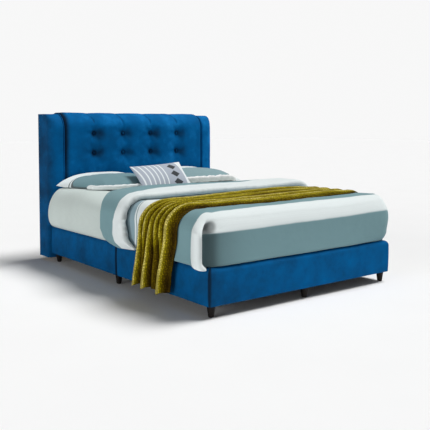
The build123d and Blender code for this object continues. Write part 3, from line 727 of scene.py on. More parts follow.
# Bed lengths (y) by the length across the bed from its middle: the crease, band and free end of the
# turned-back part. SIDE_BAND has the body's white edge by height, and TOP_BAND by x
CREASE = [(-1.035, -0.462), (-1.01, -0.44), (-0.99, -0.403), (-0.944, -0.35), (-0.865, -0.328),
          (-0.79, -0.328), (-0.72, -0.345), (-0.55, -0.335), (-0.3, -0.3), (0, -0.275), (0.4, -0.27),
          (0.6, -0.295), (0.72, -0.325), (0.9, -0.33), (0.98, -0.35), (1.035, -0.41)]
BAND = [(-1.03, -0.252), (-0.98, -0.197), (-0.938, -0.171), (-0.854, -0.174), (-0.789, -0.215),
        (-0.74, -0.205), (-0.65, -0.13), (-0.5, -0.06), (-0.3, -0.01), (0, 0.03), (0.3, 0.06), (0.55, 0.05),
        (0.7, -0.02), (0.8, -0.1), (0.97, -0.09), (1.03, -0.19)]
FOLD = [(-1.035, -0.22), (-1.01, -0.12), (-0.97, -0.03), (-0.92, 0.012), (-0.86, 0.014), (-0.8, 0.01),
        (-0.74, 0.05), (-0.65, 0.105), (-0.5, 0.16), (-0.3, 0.2), (0, 0.215), (0.3, 0.205), (0.5, 0.17),
        (0.65, 0.11), (0.74, 0.05), (0.8, 0.02), (0.92, 0.012), (0.97, -0.03), (1.01, -0.12), (1.035, -0.22)]
SIDE_BAND = [(0.28, -1.05), (0.3, -1.015), (0.33, -0.99), (0.351, -0.984), (0.384, -0.984), (0.434, -0.992),
             (0.47, -1.008), (0.51, -1.009), (0.536, -1.008), (0.56, -1.013), (0.573, -1.024),
             (0.583, -1.043), (0.6, -1.05)]
TOP_BAND = [(-0.8, -1.05), (-0.713, -1.047), (-0.58, -1.039), (-0.464, -1.031), (-0.345, -1.023), (0, -1.021),
            (0.157, -1.013), (0.3, -1.012), (0.448, -1.003), (0.55, -1.008), (0.638, -1.028), (0.8, -1.04)]


def side_lines(half, front, radius, foot_left, foot_right):
    """Open line: down the left side from the head, round the foot and back up the right side.

    foot_left is a list of inward and backward distances from the outer corner, foot_right its mirror.
    """
    start = front + radius
    left = [(-half, DUVET_HEAD + (start - DUVET_HEAD) * t / SIDE_STEPS) for t in range(SIDE_STEPS)]
    left += [(-half + a, front + b) for a, b in foot_left]
    middle = [(-half + radius + 2 * (half - radius) * t / FOOT_STEPS, front) for t in range(1, FOOT_STEPS)]
    right = [(half - a, front + b) for a, b in foot_right[::-1]]
    right += [(half, start + (DUVET_HEAD - start) * t / SIDE_STEPS) for t in range(1, SIDE_STEPS + 1)]
    return np.array(left + middle + right)


def front_recess(inward):
    """How far the front panel lies behind the front plane, by distance from the bed's side."""
    return 0.044 * bell(np.maximum(inward - 0.018, 0), 0.068)


def folded_corner(radius):
    """Foot corner with the side flap ending in a hanging roll, and the front panel tucked in behind it."""
    bulge = 0.032
    roll = 0.018
    back = 0.024
    inner = 2 * roll - bulge
    line = [(0, radius), (-bulge * 0.5, radius * 0.75), (-bulge, back + 0.024)]
    line += [(-bulge + roll + roll * math.cos(a), back + roll * math.sin(a))
             for a in np.linspace(math.pi, 2 * math.pi, 12)]
    turn = len(line)
    line += [(inner - 0.001, back + 0.014), (inner + 0.001, back + 0.021)]
    line += [(a, front_recess(a)) for a in np.linspace(inner + 0.006, radius, 14)]
    far = travelled(line)
    on_panel = np.linspace(0, 1, CORNER_STEPS + 1) > far[turn] / far[-1]
    return even(line, CORNER_STEPS + 1), on_panel * 1.0


def duvet_skin(gap):
    """Inset, height and gap over the mattress, from near the bed's middle over the edge to the hem."""
    radius = MATTRESS_EDGE + gap
    top = MATTRESS_TOP + gap
    wall = top - radius
    middle = MATTRESS_HALF + gap - 0.030
    count = round((MATTRESS_HALF - MATTRESS_EDGE) / 0.020)
    rows = [(middle - (middle - radius) * step / count, top) for step in range(count)]
    rows += [(radius * (1 - math.cos(a)), wall + radius * math.sin(a)) for a in arc_steps(20)[::-1]]
    rows += [(0.0, wall - (wall - HEM_TOP) * step / 34) for step in range(1, 35)]
    return [(inset, z, gap) for inset, z in rows]


def corner_shade(inward, z, on_panel, past_turn):
    """Shade behind the corner roll, under the arch above it and in a groove down the roll."""
    shadow = (0.32 * bell(np.maximum(inward - 0.08, 0), 0.16)
              + 0.40 * bell(np.maximum(inward - 0.075, 0), 0.034))
    arch = smooth(1.2 - np.hypot((inward - 0.040) / 0.056, (z - ARCH_Z) / 0.034), 0.0, 0.5)
    arch = arch * (0.80 - 4.5 * np.maximum(inward - 0.035, 0)).clip(0, 1)
    shade = np.maximum(arch, shadow * smooth(LIP_Z - z, 0.0, 0.008)) * on_panel * (inward < MATTRESS_HALF)
    groove = 0.30 * bell(past_turn + 8, 3.0) * ~on_panel
    groove = groove * smooth(LIP_Z + 0.001 - z, 0, 0.03) * smooth(z - DUVET_LOW - DUVET_THICK, 0, 0.05)
    under_arch = 0.80 * bell(past_turn, 4.0) * bell(z - ARCH_Z + 0.002, 0.026)
    return np.maximum(shade, np.maximum(under_arch, groove))


def outer_row(places, folded, fold_facing, facing, inset, z, gap):
    """A row of the outer skin with its folds: places, heights, how far each faces the foot, and shade."""
    front = MATTRESS_FRONT - gap + inset
    edge = MATTRESS_EDGE + gap
    inward = MATTRESS_HALF + gap - inset + folded[:, 0]
    normals = np.gradient(places, axis=0)[:, ::-1] * (-1, 1)
    normals /= np.linalg.norm(normals, axis=1)[:, None]
    low = smooth(MATTRESS_TOP - 0.007 - z, 0.0, 0.075)
    after_corner = SIDE_STEPS + CORNER_STEPS + 1
    folded_facing = np.concatenate([np.zeros(SIDE_STEPS), fold_facing, facing[after_corner:]])
    on_panel = folded_facing > 0.5
    places = places + (folded - places) * low
    # The white edge hangs over as a lip, with a hollow above it beside the corner roll
    behind = folded_facing * low * bell(np.maximum(inward - 0.012, 0), 0.11) * (folded[:, 0] < 0)
    hollow = bell(inward - 0.034, 0.032) * bell(z - ARCH_Z - 0.002, 0.022) * on_panel
    places[:, 1] -= 0.016 * bell(z - LIP_Z, 0.009) * behind - 0.022 * hollow
    past_turn = np.arange(len(places)) - SIDE_STEPS - np.argmax(fold_facing > 0.5)
    shade = corner_shade(inward, z, on_panel, past_turn)
    # Painted shade runs as a dark line along the crease of the turned-back end
    slope = math.asin(min(1.0, max(0.0, 1 - inset / edge)))
    length = (MATTRESS_HALF - MATTRESS_EDGE + MATTRESS_EDGE * slope
              + max(0.0, MATTRESS_TOP - MATTRESS_EDGE - z))
    length = np.where(inset < edge, length, np.abs(places[:, 0]))
    crease = lines(np.sign(places[:, 0]) * length, CREASE) + 0.018
    line_shade = bell(places[:, 1] - crease + 0.002, 0.009) * (0.25 + 0.45 * smooth(length, 0.45, 0.72))
    shade = np.maximum(shade, line_shade * (facing < 0.5))
    # The roll's lower end is rounded and its tip curls in front of the panel
    curl = ~on_panel * low * bell(np.hypot(inward - 0.010, places[:, 1] - front - 0.02), 0.032)
    places += (curl * smooth(ROLL_END_Z - z, 0.0, 0.035))[:, None] * (0.026, -0.010)
    # The cloth is full at the edge and down the wall, and softly wavy all over
    x, y = places.T
    drop = max(0.0, MATTRESS_TOP + gap - z)
    wall = smooth(drop, 0.05, 0.16)
    puff = 0.006 * math.sin(math.pi * min(1.0, drop / 0.29)) if inset < 0.02 else 0.0
    bend = 0.7 * 0.011 * math.sin(2 * slope)
    flat = joined(x, y, z)
    waves = (0.0030 * ripples(flat, 0.26, 21) + 0.0016 * ripples(flat, 0.09, 22)
             + 0.0006 * ripples(flat, 0.03, 23))
    lifted = 0.010 * smooth(inset, 0.02, 0.2) * bell(y + 0.98, 0.11)
    # Between the turned-back end and the throw it swells up again
    swell = 0.010 * bell(y + 0.43, 0.06)
    above_hem = z - DUVET_LOW
    far_corner = smooth(x, 0.35, 0.76) * smooth(-y, 0.70, 1.0)
    full = 0.014 * smooth(0.046 - above_hem, 0, 0.05) - 0.023 * bell(above_hem - 0.151, 0.110)
    full = far_corner * full * smooth(0.30 - inset, 0.0, 0.2)
    height = z + 1.4 * waves * (1 - wall) + bend + lifted + swell * (1 - wall)
    height += 0.010 * far_corner * bell(inset - 0.04, 0.07)
    places = places + normals * (puff + bend + (waves + swell) * wall + full)[:, None]
    by_corner = bell(np.hypot(inward, places[:, 1] - front), 0.05) * ~on_panel
    height -= 0.014 * smooth(drop, 0.20, 0.30) * by_corner
    # The tucked panel stays in front of the duvet's own inner side
    within = CORNER_RADIUS + DUVET_GAP
    depth = within - np.clip(inward - DUVET_THICK, 0, within)
    limit = front + DUVET_THICK + within - np.sqrt(within ** 2 - depth ** 2) - 0.013
    behind_limit = on_panel & (places[:, 0] < 0) & (places[:, 1] > limit)
    places[:, 1] = np.where(behind_limit, limit, places[:, 1])
    return places, height, facing + (folded_facing - facing) * low, shade


def band_place(places, facing, inset, z, gap):
    """Where along the duvet's bands each point of a row lies."""
    side = smooth(np.abs(places[:, 0]), 0.70, 0.745)
    shift = WHITE_START - lines(z, SIDE_BAND) * side - lines(places[:, 0], TOP_BAND) * (1 - side)
    side_value = places[:, 1] + shift * smooth(-places[:, 1], 0.70, 0.95)
    edge = MATTRESS_EDGE + gap
    if inset >= edge:
        return side_value
    # Over the foot edge and down the front the bands are counted along the cloth
    arc = edge * math.asin(1 - inset / edge) + max(0.0, MATTRESS_TOP - MATTRESS_EDGE - z)
    fade = smooth(0.15 - arc, 0.0, 0.07)
    front_value = MATTRESS_FRONT - DUVET_GAP - DUVET_THICK + edge - arc + shift * fade
    front_value = front_value - 0.009 * (places[:, 0] + 0.1) * (1 - fade)
    return side_value * (1 - facing) + front_value * facing


def duvet_faces(rows, columns):
    faces = quads(rows, columns)
    # Both open ends at the head side are closed between the outer and inner skins
    for column in (0, columns - 1):
        for row in range((rows - 2) // 2):
            other = rows - 1 - row
            faces.append((row * columns + column, (row + 1) * columns + column,
                          (other - 1) * columns + column, other * columns + column))
    # The innermost rows are bridged across, so the top has no slit along the bed's middle
    for start in (0, (rows - 1) * columns):
        for column in range(SIDE_STEPS - 1):
            other = columns - 1 - column
            faces.append((start + column, start + column + 1, start + other - 1, start + other))
        faces.append(tuple(range(start + SIDE_STEPS - 1, start + columns - SIDE_STEPS + 1)))
    faces.append((0, columns - 1, rows * columns - 1, (rows - 1) * columns))
    return faces


def duvet():
    outer = duvet_skin(DUVET_GAP + DUVET_THICK)
    hem = [(0.0, HEM_TOP - 0.012 * math.sin(math.pi * t),
            DUVET_GAP + DUVET_THICK / 2 * (1 + math.cos(math.pi * t))) for t in (0.2, 0.4, 0.6, 0.8)]
    profile = outer + hem + duvet_skin(DUVET_GAP)[::-1]
    turn = smooth(np.linspace(0, 90, CORNER_STEPS + 1), 14, 72)
    side = np.zeros(SIDE_STEPS)
    to_front = np.concatenate([side, turn, np.ones(FOOT_STEPS - 1), turn[::-1], side])
    angles = np.array(arc_steps(CORNER_STEPS))
    rounded = 1 - np.column_stack([np.cos(angles), np.sin(angles)])
    rows = []
    bands = []
    shades = []
    for index, (inset, z, gap) in enumerate(profile):
        half = MATTRESS_HALF + gap - inset
        front = MATTRESS_FRONT - gap + inset
        radius = max(CORNER_RADIUS + gap - inset, 0.010)
        places = side_lines(half, front, radius, radius * rounded, radius * rounded)
        height, facing, shade = z, to_front, 0 * to_front
        if index < len(outer) + 2:
            corner, fold_facing = folded_corner(radius)
            folded = side_lines(half, front, radius, corner, radius * rounded)
            inward = half + folded[:, 0]
            on_front = (inward >= radius - 1e-6) & (folded[:, 1] < front + 1e-4)
            folded[:, 1] += on_front * front_recess(inward)
            places, height, facing, shade = outer_row(places, folded, fold_facing, to_front, inset, z, gap)
        bands.append(band_place(places, facing, inset, z, gap))
        shades.append(shade)
        rows.append(joined(places[:, 0], places[:, 1], height))
    edges = [(-1.44, TEAL), (-1.166, TEAL), (-1.162, WHITE), (-0.995, WHITE), (-0.991, TEAL), (-0.61, TEAL),
             (-0.606, WHITE), (-0.400, WHITE), (-0.398, PIPING_GREY), (-0.394, PIPING_GREY),
             (-0.392, WHITE), (-0.380, WHITE), (-0.378, PIPING_GREY), (-0.375, PIPING_GREY),
             (-0.373, BLUE_GREY), (0.2, BLUE_GREY)]
    # The bands' places are carried over to a colour ramp's range of 0 to 1
    ramp_start = -1.6
    ramp_length = 2.0
    stops = [((y - ramp_start) / ramp_length, tint) for y, tint in edges]
    finish = cloth("duvet_cotton", bands_of("band", stops), 0.0024)
    # The rows' shade is painted shade at the foot corner and along the crease
    obj = make("duvet_body", rows, duvet_faces(len(rows), len(rows[0])), "duvet", finish,
               {"band": (np.array(bands) - ramp_start) / ramp_length, "painted_shade": shades})
    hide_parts("duvet")


def turned_back():
    """The doubled end of the duvet: a soft flap folded back over it, hanging down at both sides."""
    path = across(DUVET_LOW - 0.008, 0.010)
    lower = DUVET_GAP + DUVET_THICK + 0.001
    rest = 0.003
    end = 0.026
    loop = [("crease", math.cos(a), math.sin(a)) for a in np.linspace(3 * QUARTER, QUARTER, 13)]
    loop += [("top", t, 0) for t in np.linspace(0, 1, 40)[1:-1]]
    loop += [("fold", math.cos(a), math.sin(a)) for a in np.linspace(QUARTER, -QUARTER, 15)]
    loop += [("under", t, 0) for t in (0.93, 0.86, 0.80, 0.6, 0.4, 0.2, 0.05)]
    rows = []
    for x, z, nx, nz, length in path:
        crease = lines(length, CREASE) + 0.020
        fold = lines(length, FOLD) - end
        pinch = 1 - 0.5 * smooth(abs(length), 0.975, 1.03)
        radius = 0.022 * pinch
        top = lower + 0.034 * pinch
        rise = 0.9 * (0.020 - 0.008 * smooth(length, -0.3, 0.2)) * smooth(0.82 - abs(length), 0.0, 0.22)
        line = []
        for kind, a, b in loop:
            y = crease + radius + (fold - crease - radius) * a
            if kind == "crease":
                y = crease + radius + radius * a
                h = lower + radius + radius * b
            elif kind == "top":
                h = top + 0.010 * pinch * (1 - smooth(y - crease, 0.03, 0.15))
                h += rise * bell(y - fold + 0.094, 0.10)
            elif kind == "fold":
                y = fold + end * a
                crown = top + rise * bell(0.094, 0.10)
                h = (rest + crown) / 2 + (crown - rest) / 2 * b
            else:
                h = rest if a > 0.82 else lower
            line.append((x + nx * h, y, z + nz * h))
        rows.append(line)
    points = np.array(rows)
    lengths = path[:, 4, None]
    along_bands = points[..., 1] - lines(lengths, BAND)
    outside = np.array([kind != "under" for kind, _, _ in loop])
    from_crease = points[..., 1] - 0.020 - lines(lengths, CREASE)
    waves = 0.0032 * ripples(points, 0.20, 31) + 0.0020 * ripples(points * (1, 2, 1), 0.07, 32)
    hump = 0.027 * bell(lengths - 0.74, 0.15) * bell(points[..., 1] + 0.14, 0.18)
    hump = hump - 0.010 * bell(lengths - 0.36, 0.14) * bell(points[..., 1] + 0.05, 0.2)
    # Short puckers run from the crease into the white band
    along = joined(lengths, 0.35 * from_crease, 0.4)
    folds = ripples(along, 0.026, 33) + 0.8 * ripples(along, 0.055, 35)
    reach = 0.030 + 0.022 * smooth(ripples(along * (1, 0, 1), 0.09, 34), -0.3, 0.4)
    strong = 1 - 0.86 * smooth(lengths, -0.74, -0.58) * smooth(0.99 - lengths, 0.0, 0.2)
    pucker = 0.0085 * folds * bell(from_crease - 0.002, reach) * strong
    push = (waves + hump + pucker) * outside
    points[..., 0] += push * path[:, 2, None]
    points[..., 2] += push * path[:, 3, None]
    near_hem = smooth(np.abs(lengths), 0.93, 1.03)
    points[..., 2] += near_hem * (-0.010 - 0.062 * (points[..., 1] + 0.05)).clip(-0.014, 0.016)
    # Rounded hems: the last rows close in on the middle of the flap
    for index, keep in enumerate((0.35, 0.70, 0.90)):
        for row in (points[index], points[-1 - index]):
            row[:] = row.mean(0) + (row - row.mean(0)) * (keep, 0.75 + 0.25 * keep, 1.0)
    stops = [(-0.5, WHITE), (-0.002, WHITE), (0.001, TEAL), (0.5, TEAL)]
    finish = cloth("duvet_turned_cotton", bands_of("band", [(y + 0.5, tint) for y, tint in stops]), 0.0024)
    # Painted shade along the crease and in the puckers beside it
    shade = bell(from_crease + 0.004, 0.014) * (0.10 - 0.85 * folds).clip(0, 0.6)
    shade = shade * (0.06 + 0.94 * strong) * outside
    obj = make("duvet_turned_back", points, closed(*points.shape[:2]), "duvet", finish,
               {"band": along_bands + 0.5, "painted_shade": shade})


duvet()
turned_back()


# Throw

def knit():
    made, tree, shader = material("mustard_knit", 0.95, Sheen_Weight=0.10, Sheen_Roughness=0.5,
                                  Sheen_Tint=(0.55, 0.45, 0.08, 1), Specular_IOR_Level=0.08)
    bits = cells(tree, 105.0, 0.5)
    big = clouds(tree, 0.03, 3.0, 0.6)
    # Painted light and shade of the folds: dark in the valleys and light on the crowns, from the ridge
    # attribute
    crown = ramp(tree, attribute(tree, "ridge"), [
        (0.0, colour(62, 44, 0)), (0.28, colour(108, 90, 0)), (0.60, colour(156, 142, 12)),
        (0.85, colour(192, 178, 50)), (1.0, colour(228, 214, 116))])
    grain = calc(tree, "ADD", calc(tree, "MULTIPLY", bits, 0.9), calc(tree, "MULTIPLY", big, 0.25))
    shade = ramp(tree, grain, [(0.22, (1.7, 1.65, 1.8, 1)), (0.38, grey(1)), (0.54, (0.44, 0.42, 0.34, 1))])
    paint(tree, shader, blend_of(tree, 1.0, crown, shade, "MULTIPLY"))
    soft = bump(tree, shader, big, 0.2, 0.004)
    bump(tree, shader, calc(tree, "SUBTRACT", 1.0, bits), 0.9, 0.003, soft)
    return made


# Half the throw's length over the bed, and its edges as bed lengths (y) by the length across from the middle
END = 1.213
THROW_HEAD = [(-END, -0.424), (-1.142, -0.437), (-1.018, -0.466), (-0.957, -0.479), (-0.898, -0.486),
              (-0.839, -0.488), (-0.807, -0.497), (-0.775, -0.516), (-0.74, -0.542), (-0.7, -0.56),
              (-0.54, -0.548), (-0.416, -0.525), (-0.15, -0.455), (0.07, -0.41), (0.43, -0.385),
              (0.65, -0.42), (0.8, -0.44), (END, -0.43)]
THROW_FOOT = [(-END, -0.778), (-1.095, -0.798), (-1.018, -0.824), (-0.961, -0.842), (-0.903, -0.858),
              (-0.829, -0.864), (-0.805, -0.868), (-0.778, -0.878), (-0.74, -0.898), (-0.7, -0.915),
              (-0.609, -0.93), (-0.41, -0.93), (-0.037, -0.94), (0.318, -0.885), (0.716, -0.85), (END, -0.86)]
# Each fold of the throw: its place across (0 at the foot edge), its half width and its height, by length
FOLDS = [
    ([(-END, 0.945), (-0.84, 0.955), (-0.7, 0.925), (0, 0.915), (0.8, 0.92), (END, 0.93)],
     [(-END, 0.085), (-0.84, 0.06), (-0.7, 0.085), (0, 0.1), (END, 0.1)],
     [(0, 1)]),
    ([(-END, 0.82), (-1, 0.845), (-0.88, 0.825), (-0.76, 0.79), (-0.6, 0.72), (-0.4, 0.665), (0.3, 0.64),
      (END, 0.71)],
     [(-END, 0.06), (-1, 0.06), (-0.84, 0.085), (-0.4, 0.15), (END, 0.13)],
     [(-END, 0.35), (-1.02, 0.55), (-0.9, 0.95), (-0.5, 0.9), (END, 1)]),
    ([(-END, 0.65), (-0.96, 0.69), (-0.88, 0.675), (-0.76, 0.62), (-0.6, 0.59), (-0.4, 0.58), (END, 0.55)],
     [(-END, 0.115), (-0.96, 0.09), (-0.76, 0.075), (-0.5, 0.05), (END, 0.05)],
     [(-END, 1), (-0.7, 0.9), (-0.5, 0.55), (-0.3, 0.2), (END, 0.2)]),
    ([(-END, 0.43), (-1, 0.475), (-0.88, 0.515), (-0.76, 0.5), (-0.6, 0.42), (-0.4, 0.355), (0.3, 0.33),
      (END, 0.46)],
     [(-END, 0.085), (-0.95, 0.08), (-0.76, 0.07), (-0.5, 0.1), (0.2, 0.17), (END, 0.13)],
     [(-END, 0.45), (-1, 0.6), (-0.88, 0.92), (END, 1)]),
    ([(-END, 0.22), (-1, 0.26), (-0.94, 0.31), (-0.88, 0.372), (-0.76, 0.37), (-0.6, 0.3), (-0.4, 0.24),
      (END, 0.24)],
     [(-END, 0.085), (-1, 0.075), (-0.88, 0.07), (-0.5, 0.06), (END, 0.05)],
     [(-END, 0.7), (-0.88, 0.9), (-0.6, 0.8), (-0.35, 0.4), (END, 0.3)]),
    ([(-END, 0.175), (-1.03, 0.2), (-0.88, 0.195), (-0.76, 0.2), (-0.6, 0.13), (0, 0.095), (0.8, 0.11),
      (END, 0.18)],
     [(-END, 0.13), (-0.88, 0.12), (-0.76, 0.11), (0, 0.12), (END, 0.14)],
     [(0, 1)])]


def throw():
    path = across(0.088, 0.008)
    lengths = path[:, 4, None]
    out = np.abs(lengths)
    w = np.linspace(0, 1, 190)
    drift = 0.012 * np.sin(lengths * 9 + 0.6) * smooth(out, 0.0, 0.5)
    ridge = 0 * (w + lengths)
    for place_line, width_line, height_line in FOLDS:
        away = (w - lines(lengths, place_line) - drift) / (0.96 * lines(lengths, width_line))
        ridge = np.maximum(ridge, lines(lengths, height_line) * np.clip(1 - away ** 2, 0, 1) ** 0.85)
    foot = lines(lengths, THROW_FOOT)
    grid = joined(path[:, 0, None], foot + (lines(lengths, THROW_HEAD) - foot) * w, path[:, 1, None])
    depth = (0.029 + 0.012 * smooth(out, 0.70, 0.95)) * (1 - 0.40 * smooth(lengths, 0.45, 0.70))
    depth = depth * smooth(w, 0, 0.02) * smooth(1 - w, 0, 0.02)
    fine = 0.0022 * ripples(grid * (0.25, 1, 0.25), 0.022, 43) + 0.0012 * ripples(grid, 0.05, 41)
    h = DUVET_GAP + DUVET_THICK + 0.004 + depth * ridge + fine
    h = h + 0.010 * smooth(out, 1.00, 1.18) * (ridge - 0.6)
    grid[..., 0] += path[:, 2, None] * h
    grid[..., 2] += path[:, 3, None] * h
    grid[..., 2] -= (0.012 * (ridge - 0.5) + 0.004 * np.sin(40 * w)) * smooth(out, 1.12, END)
    # Finer pleats between the big folds are painted light and shade only, strongest where the throw lies flat
    # on top
    lying = smooth(0.95 - out, 0.0, 0.2)
    pleats = ripples(joined(lengths * 0.10, w, 0), 0.060, 45)
    # The ridge attribute is painted light on the fold crowns and shade in the valleys, with random tone and
    # painted light where the throw lies flat
    shown = (0.03 + 1.05 * ridge ** 2.6 + 0.30 * pleats * (0.4 + 0.6 * lying)
             + 0.16 * ripples(grid, 0.10, 44) + 0.07 * lying).clip(0, 1)
    obj = make("throw_cloth", grid, quads(*grid.shape[:2]), "throw", knit(), {"ridge": shown})
    thicken(obj, 0.005, 0)
    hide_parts("throw")


throw()


# Pillows and cushion

def stuffed_grid(half_x, half_y, rise, sag, draw, count_x, count_y, power):
    """Upper and lower skins of a seamed pillow in its own plane: shares, places and heights."""
    u = np.sin(np.linspace(-QUARTER, QUARTER, count_x))[:, None]
    v = np.sin(np.linspace(-QUARTER, QUARTER, count_y))[None, :]
    x = u * (half_x - draw * (1 - v ** 2))
    y = v * (half_y - draw * (1 - u ** 2))
    crown = ((1 - u ** 2) * (1 - v ** 2)) ** power
    flat = (1 - (np.abs(u) ** 3.2)) ** 0.6 * (1 - (np.abs(v) ** 2.6)) ** 0.6
    body = 0.45 * crown + 0.55 * flat
    return u + 0 * v, v + 0 * u, x, y, body * rise, -body * sag


def sewn(name, skins, body, finish, values):
    """A piece of an upper and a lower skin that share their rim; values are given for one skin."""
    nx, ny = skins[0].shape[:2]

    def at(layer, i, j):
        edge = i in (0, nx - 1) or j in (0, ny - 1)
        return i * ny + j + (0 if edge else layer * nx * ny)

    faces = []
    for i in range(nx - 1):
        for j in range(ny - 1):
            faces.append((at(0, i, j), at(0, i + 1, j), at(0, i + 1, j + 1), at(0, i, j + 1)))
            faces.append((at(1, i, j), at(1, i, j + 1), at(1, i + 1, j + 1), at(1, i + 1, j)))
    used = sorted({index for face in faces for index in face})
    new_place = {old: new for new, old in enumerate(used)}
    faces = [tuple(new_place[index] for index in face) for face in faces]
    points = np.concatenate([skin.reshape(-1, 3) for skin in skins])[used]
    doubled = {key: np.tile(data.ravel(), 2)[used] for key, data in values.items()}
    return make(name, points, faces, body, finish, doubled)


def pillow(name, node, side, seed, teal_with_painted_light, rise, stand, pulled, drawn, slope, flange):
    """A stuffed case with a white flange and two lines of piping; side is -1 left and 1 right."""
    low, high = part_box(node)
    centre = (low + high) / 2
    half_x = (high.x - low.x) / 2
    half_y = (high.y - low.y) / 2
    seam = MATTRESS_TOP + 0.0398
    u, v, x, y, upper, lower = stuffed_grid(half_x, half_y, rise, sag=0.038, draw=0.016,
                                            count_x=92, count_y=64, power=0.5)
    outer_end = smooth(u * side, 0.2, 1.0)
    x = x - side * pulled * outer_end * smooth(-v, -0.6, 1.0)
    y = y + drawn * smooth(np.abs(u), 0.55, 1.0) * smooth(-v, 0.2, 1.0) + 0.015 * outer_end
    flat = joined(x + centre.x, y + centre.y, seam)
    wave = ripples(flat, 0.13, seed) + 0.5 * ripples(flat, 0.05, seed + 1)
    rim = smooth(1 - np.maximum(np.abs(u), np.abs(v)), 0, 0.25)
    # Corner creases run in from the seam
    corner = np.sin((x + y * side) * 110 + wave * 2) * (1 - rim) * np.abs(u * v)
    top = upper + (0.0045 * wave + 0.0016 * corner) * (0.25 + 0.75 * rim) * (upper > 0.002)
    # The back edge stands up against the headboard, and the front edge sags onto the sheet
    sagging = 0.010 * smooth(-v, 0.3, 1.0) * (1 - u ** 2)
    lift = seam + stand * smooth(v, 0.74, 1.0) * (1 - np.abs(u) ** 3) - sagging
    resting = pillow_rest(flat[..., 1])
    skins = [joined(flat[..., 0], flat[..., 1], height) for height in (
        np.maximum(top + lift, resting + 0.0005), np.maximum(np.maximum(lower, -0.0375) + lift, resting))]
    # The border value passes its middle where the flange ends, at one slope, so the piping keeps its width
    width = np.where(u * side > 0, flange(v), 0.06)
    at_back = np.where(v > 0, 1 + ((1 - np.abs(v)) * half_y - 0.040) / 0.02, 2.0)
    border = np.minimum(1 + ((1 - np.abs(u)) * half_x - width) / slope, at_back).clip(0, 2) / 2
    piping = colour(92, 102, 104)
    stops = [(0.0, WHITE), (0.365, WHITE), (0.375, piping), (0.405, piping), (0.415, WHITE),
             (0.455, WHITE), (0.465, piping), (0.495, piping), (0.505, teal_with_painted_light), (1.0, teal_with_painted_light)]
    finish = cloth(f"{name}_cotton", bands_of("border", stops))
    obj = sewn(name, skins, node, finish, {"border": border})
    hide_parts(node)


def pillow_border(name, node, side, seed, tint, reach, raised):
    """Soft white border that lies along the pillow's front edge."""
    low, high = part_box(node)
    middle = ((low + high) / 2).x
    outer = middle + side * reach
    inner = middle - side * 0.345
    line = [(outer, 0.105), (outer - side * 0.018, 0.060), (outer - side * 0.060, 0.026),
            (outer - side * 0.13, 0.008), (outer - side * 0.24, -0.004), (inner, -0.004)]
    count = 90
    x, y = even(np.array(line) + (0, low.y), count).T[..., None]
    share = np.linspace(0, 1, count)[:, None]
    # Both ends are rounded off
    first = np.clip(1 - share / 0.06, 0, 1)
    last = np.clip((share - 0.94) / 0.06, 0, 1)
    size = np.sqrt(1 - first ** 2) * np.sqrt(1 - last ** 2)
    angles = 2 * math.pi * np.arange(22) / 22
    across_y, up_z = (thick * (size + 0.02) * np.sign(turn) * np.abs(turn) ** 0.8
                      for thick, turn in ((0.020, np.cos(angles)), (0.0215, np.sin(angles))))

    def flutter(pitch, offset):
        return np.array([[noise.noise(Vector((at * pitch, seed + offset, 0)))] for at in x[:, 0]])

    lifted = raised * (1 - 0.9 * smooth(x, outer - 0.13, outer))
    loose = 1 + lifted * 40
    sway = 0.0045 * flutter(22, 0)
    ruffle = 0.0035 * flutter(34, 5) * (np.sin(angles) > -0.3)
    y = y + across_y - up_z * 0.35 + sway * loose
    z = MATTRESS_TOP + 0.0455 + lifted * 1.1 + up_z * (1 + lifted * 12) + ruffle * loose + sway * 0.5
    points = joined(x, y, np.maximum(z, pillow_rest(y)))
    # Painted shade on the border's underside, a dark line where it meets the case
    under = 0.75 * (np.sin(angles) < -0.55) + 0 * x
    obj = make(name, points, closed(*points.shape[:2]), node, cloth(f"{name}_cotton", tint),
               {"painted_shade": under})


# A whiter white than the cases: painted light on the pillows' front borders
WHITE_WITH_PAINTED_LIGHT = colour(255, 255, 254)
# The left case's teal has painted shade and the right case's painted light; both cases are the same cloth
pillow("left_pillow_case", "left_pillow", side=-1, seed=51, teal_with_painted_light=blend_tint(TEAL, colour(52, 84, 98), 0.16),
       rise=0.095, stand=0.074, pulled=0.085, drawn=0.075, slope=0.22,
       flange=lambda v: 0.002 + 0.350 * smooth(v, 0.04, 1.0))
pillow_border("left_pillow_case_border", "left_pillow", side=-1, seed=51, tint=blend_tint(WHITE, WHITE_WITH_PAINTED_LIGHT, 0.4),
              reach=0.298, raised=0.0)
pillow("right_pillow_case", "right_pillow", side=1, seed=61, teal_with_painted_light=blend_tint(TEAL, WHITE, 0.10),
       rise=0.110, stand=0.086, pulled=0.0, drawn=0.030, slope=0.10,
       flange=lambda v: 0.090 + 0.020 * (v + 1))
pillow_border("right_pillow_case_border", "right_pillow", side=1, seed=61, tint=WHITE_WITH_PAINTED_LIGHT,
              reach=0.325, raised=0.022)

CUSHION_CENTRE = Vector((-0.086, 0.397, 0.6637))
CUSHION_LEAN = math.radians(41)
CUSHION_HALF_X = 0.230
CUSHION_HALF_Y = 0.140


def cushion_point(x, y, h):
    """From the cushion's own plane to the room: x across, y up its slope, h out of its face."""
    slope, rise = math.cos(CUSHION_LEAN), math.sin(CUSHION_LEAN)
    tilt = 0.012 * x / CUSHION_HALF_X * smooth(y, -CUSHION_HALF_Y, CUSHION_HALF_Y)
    return joined(CUSHION_CENTRE.x + x, CUSHION_CENTRE.y + y * slope - h * rise,
                  CUSHION_CENTRE.z + tilt + y * rise + h * slope)


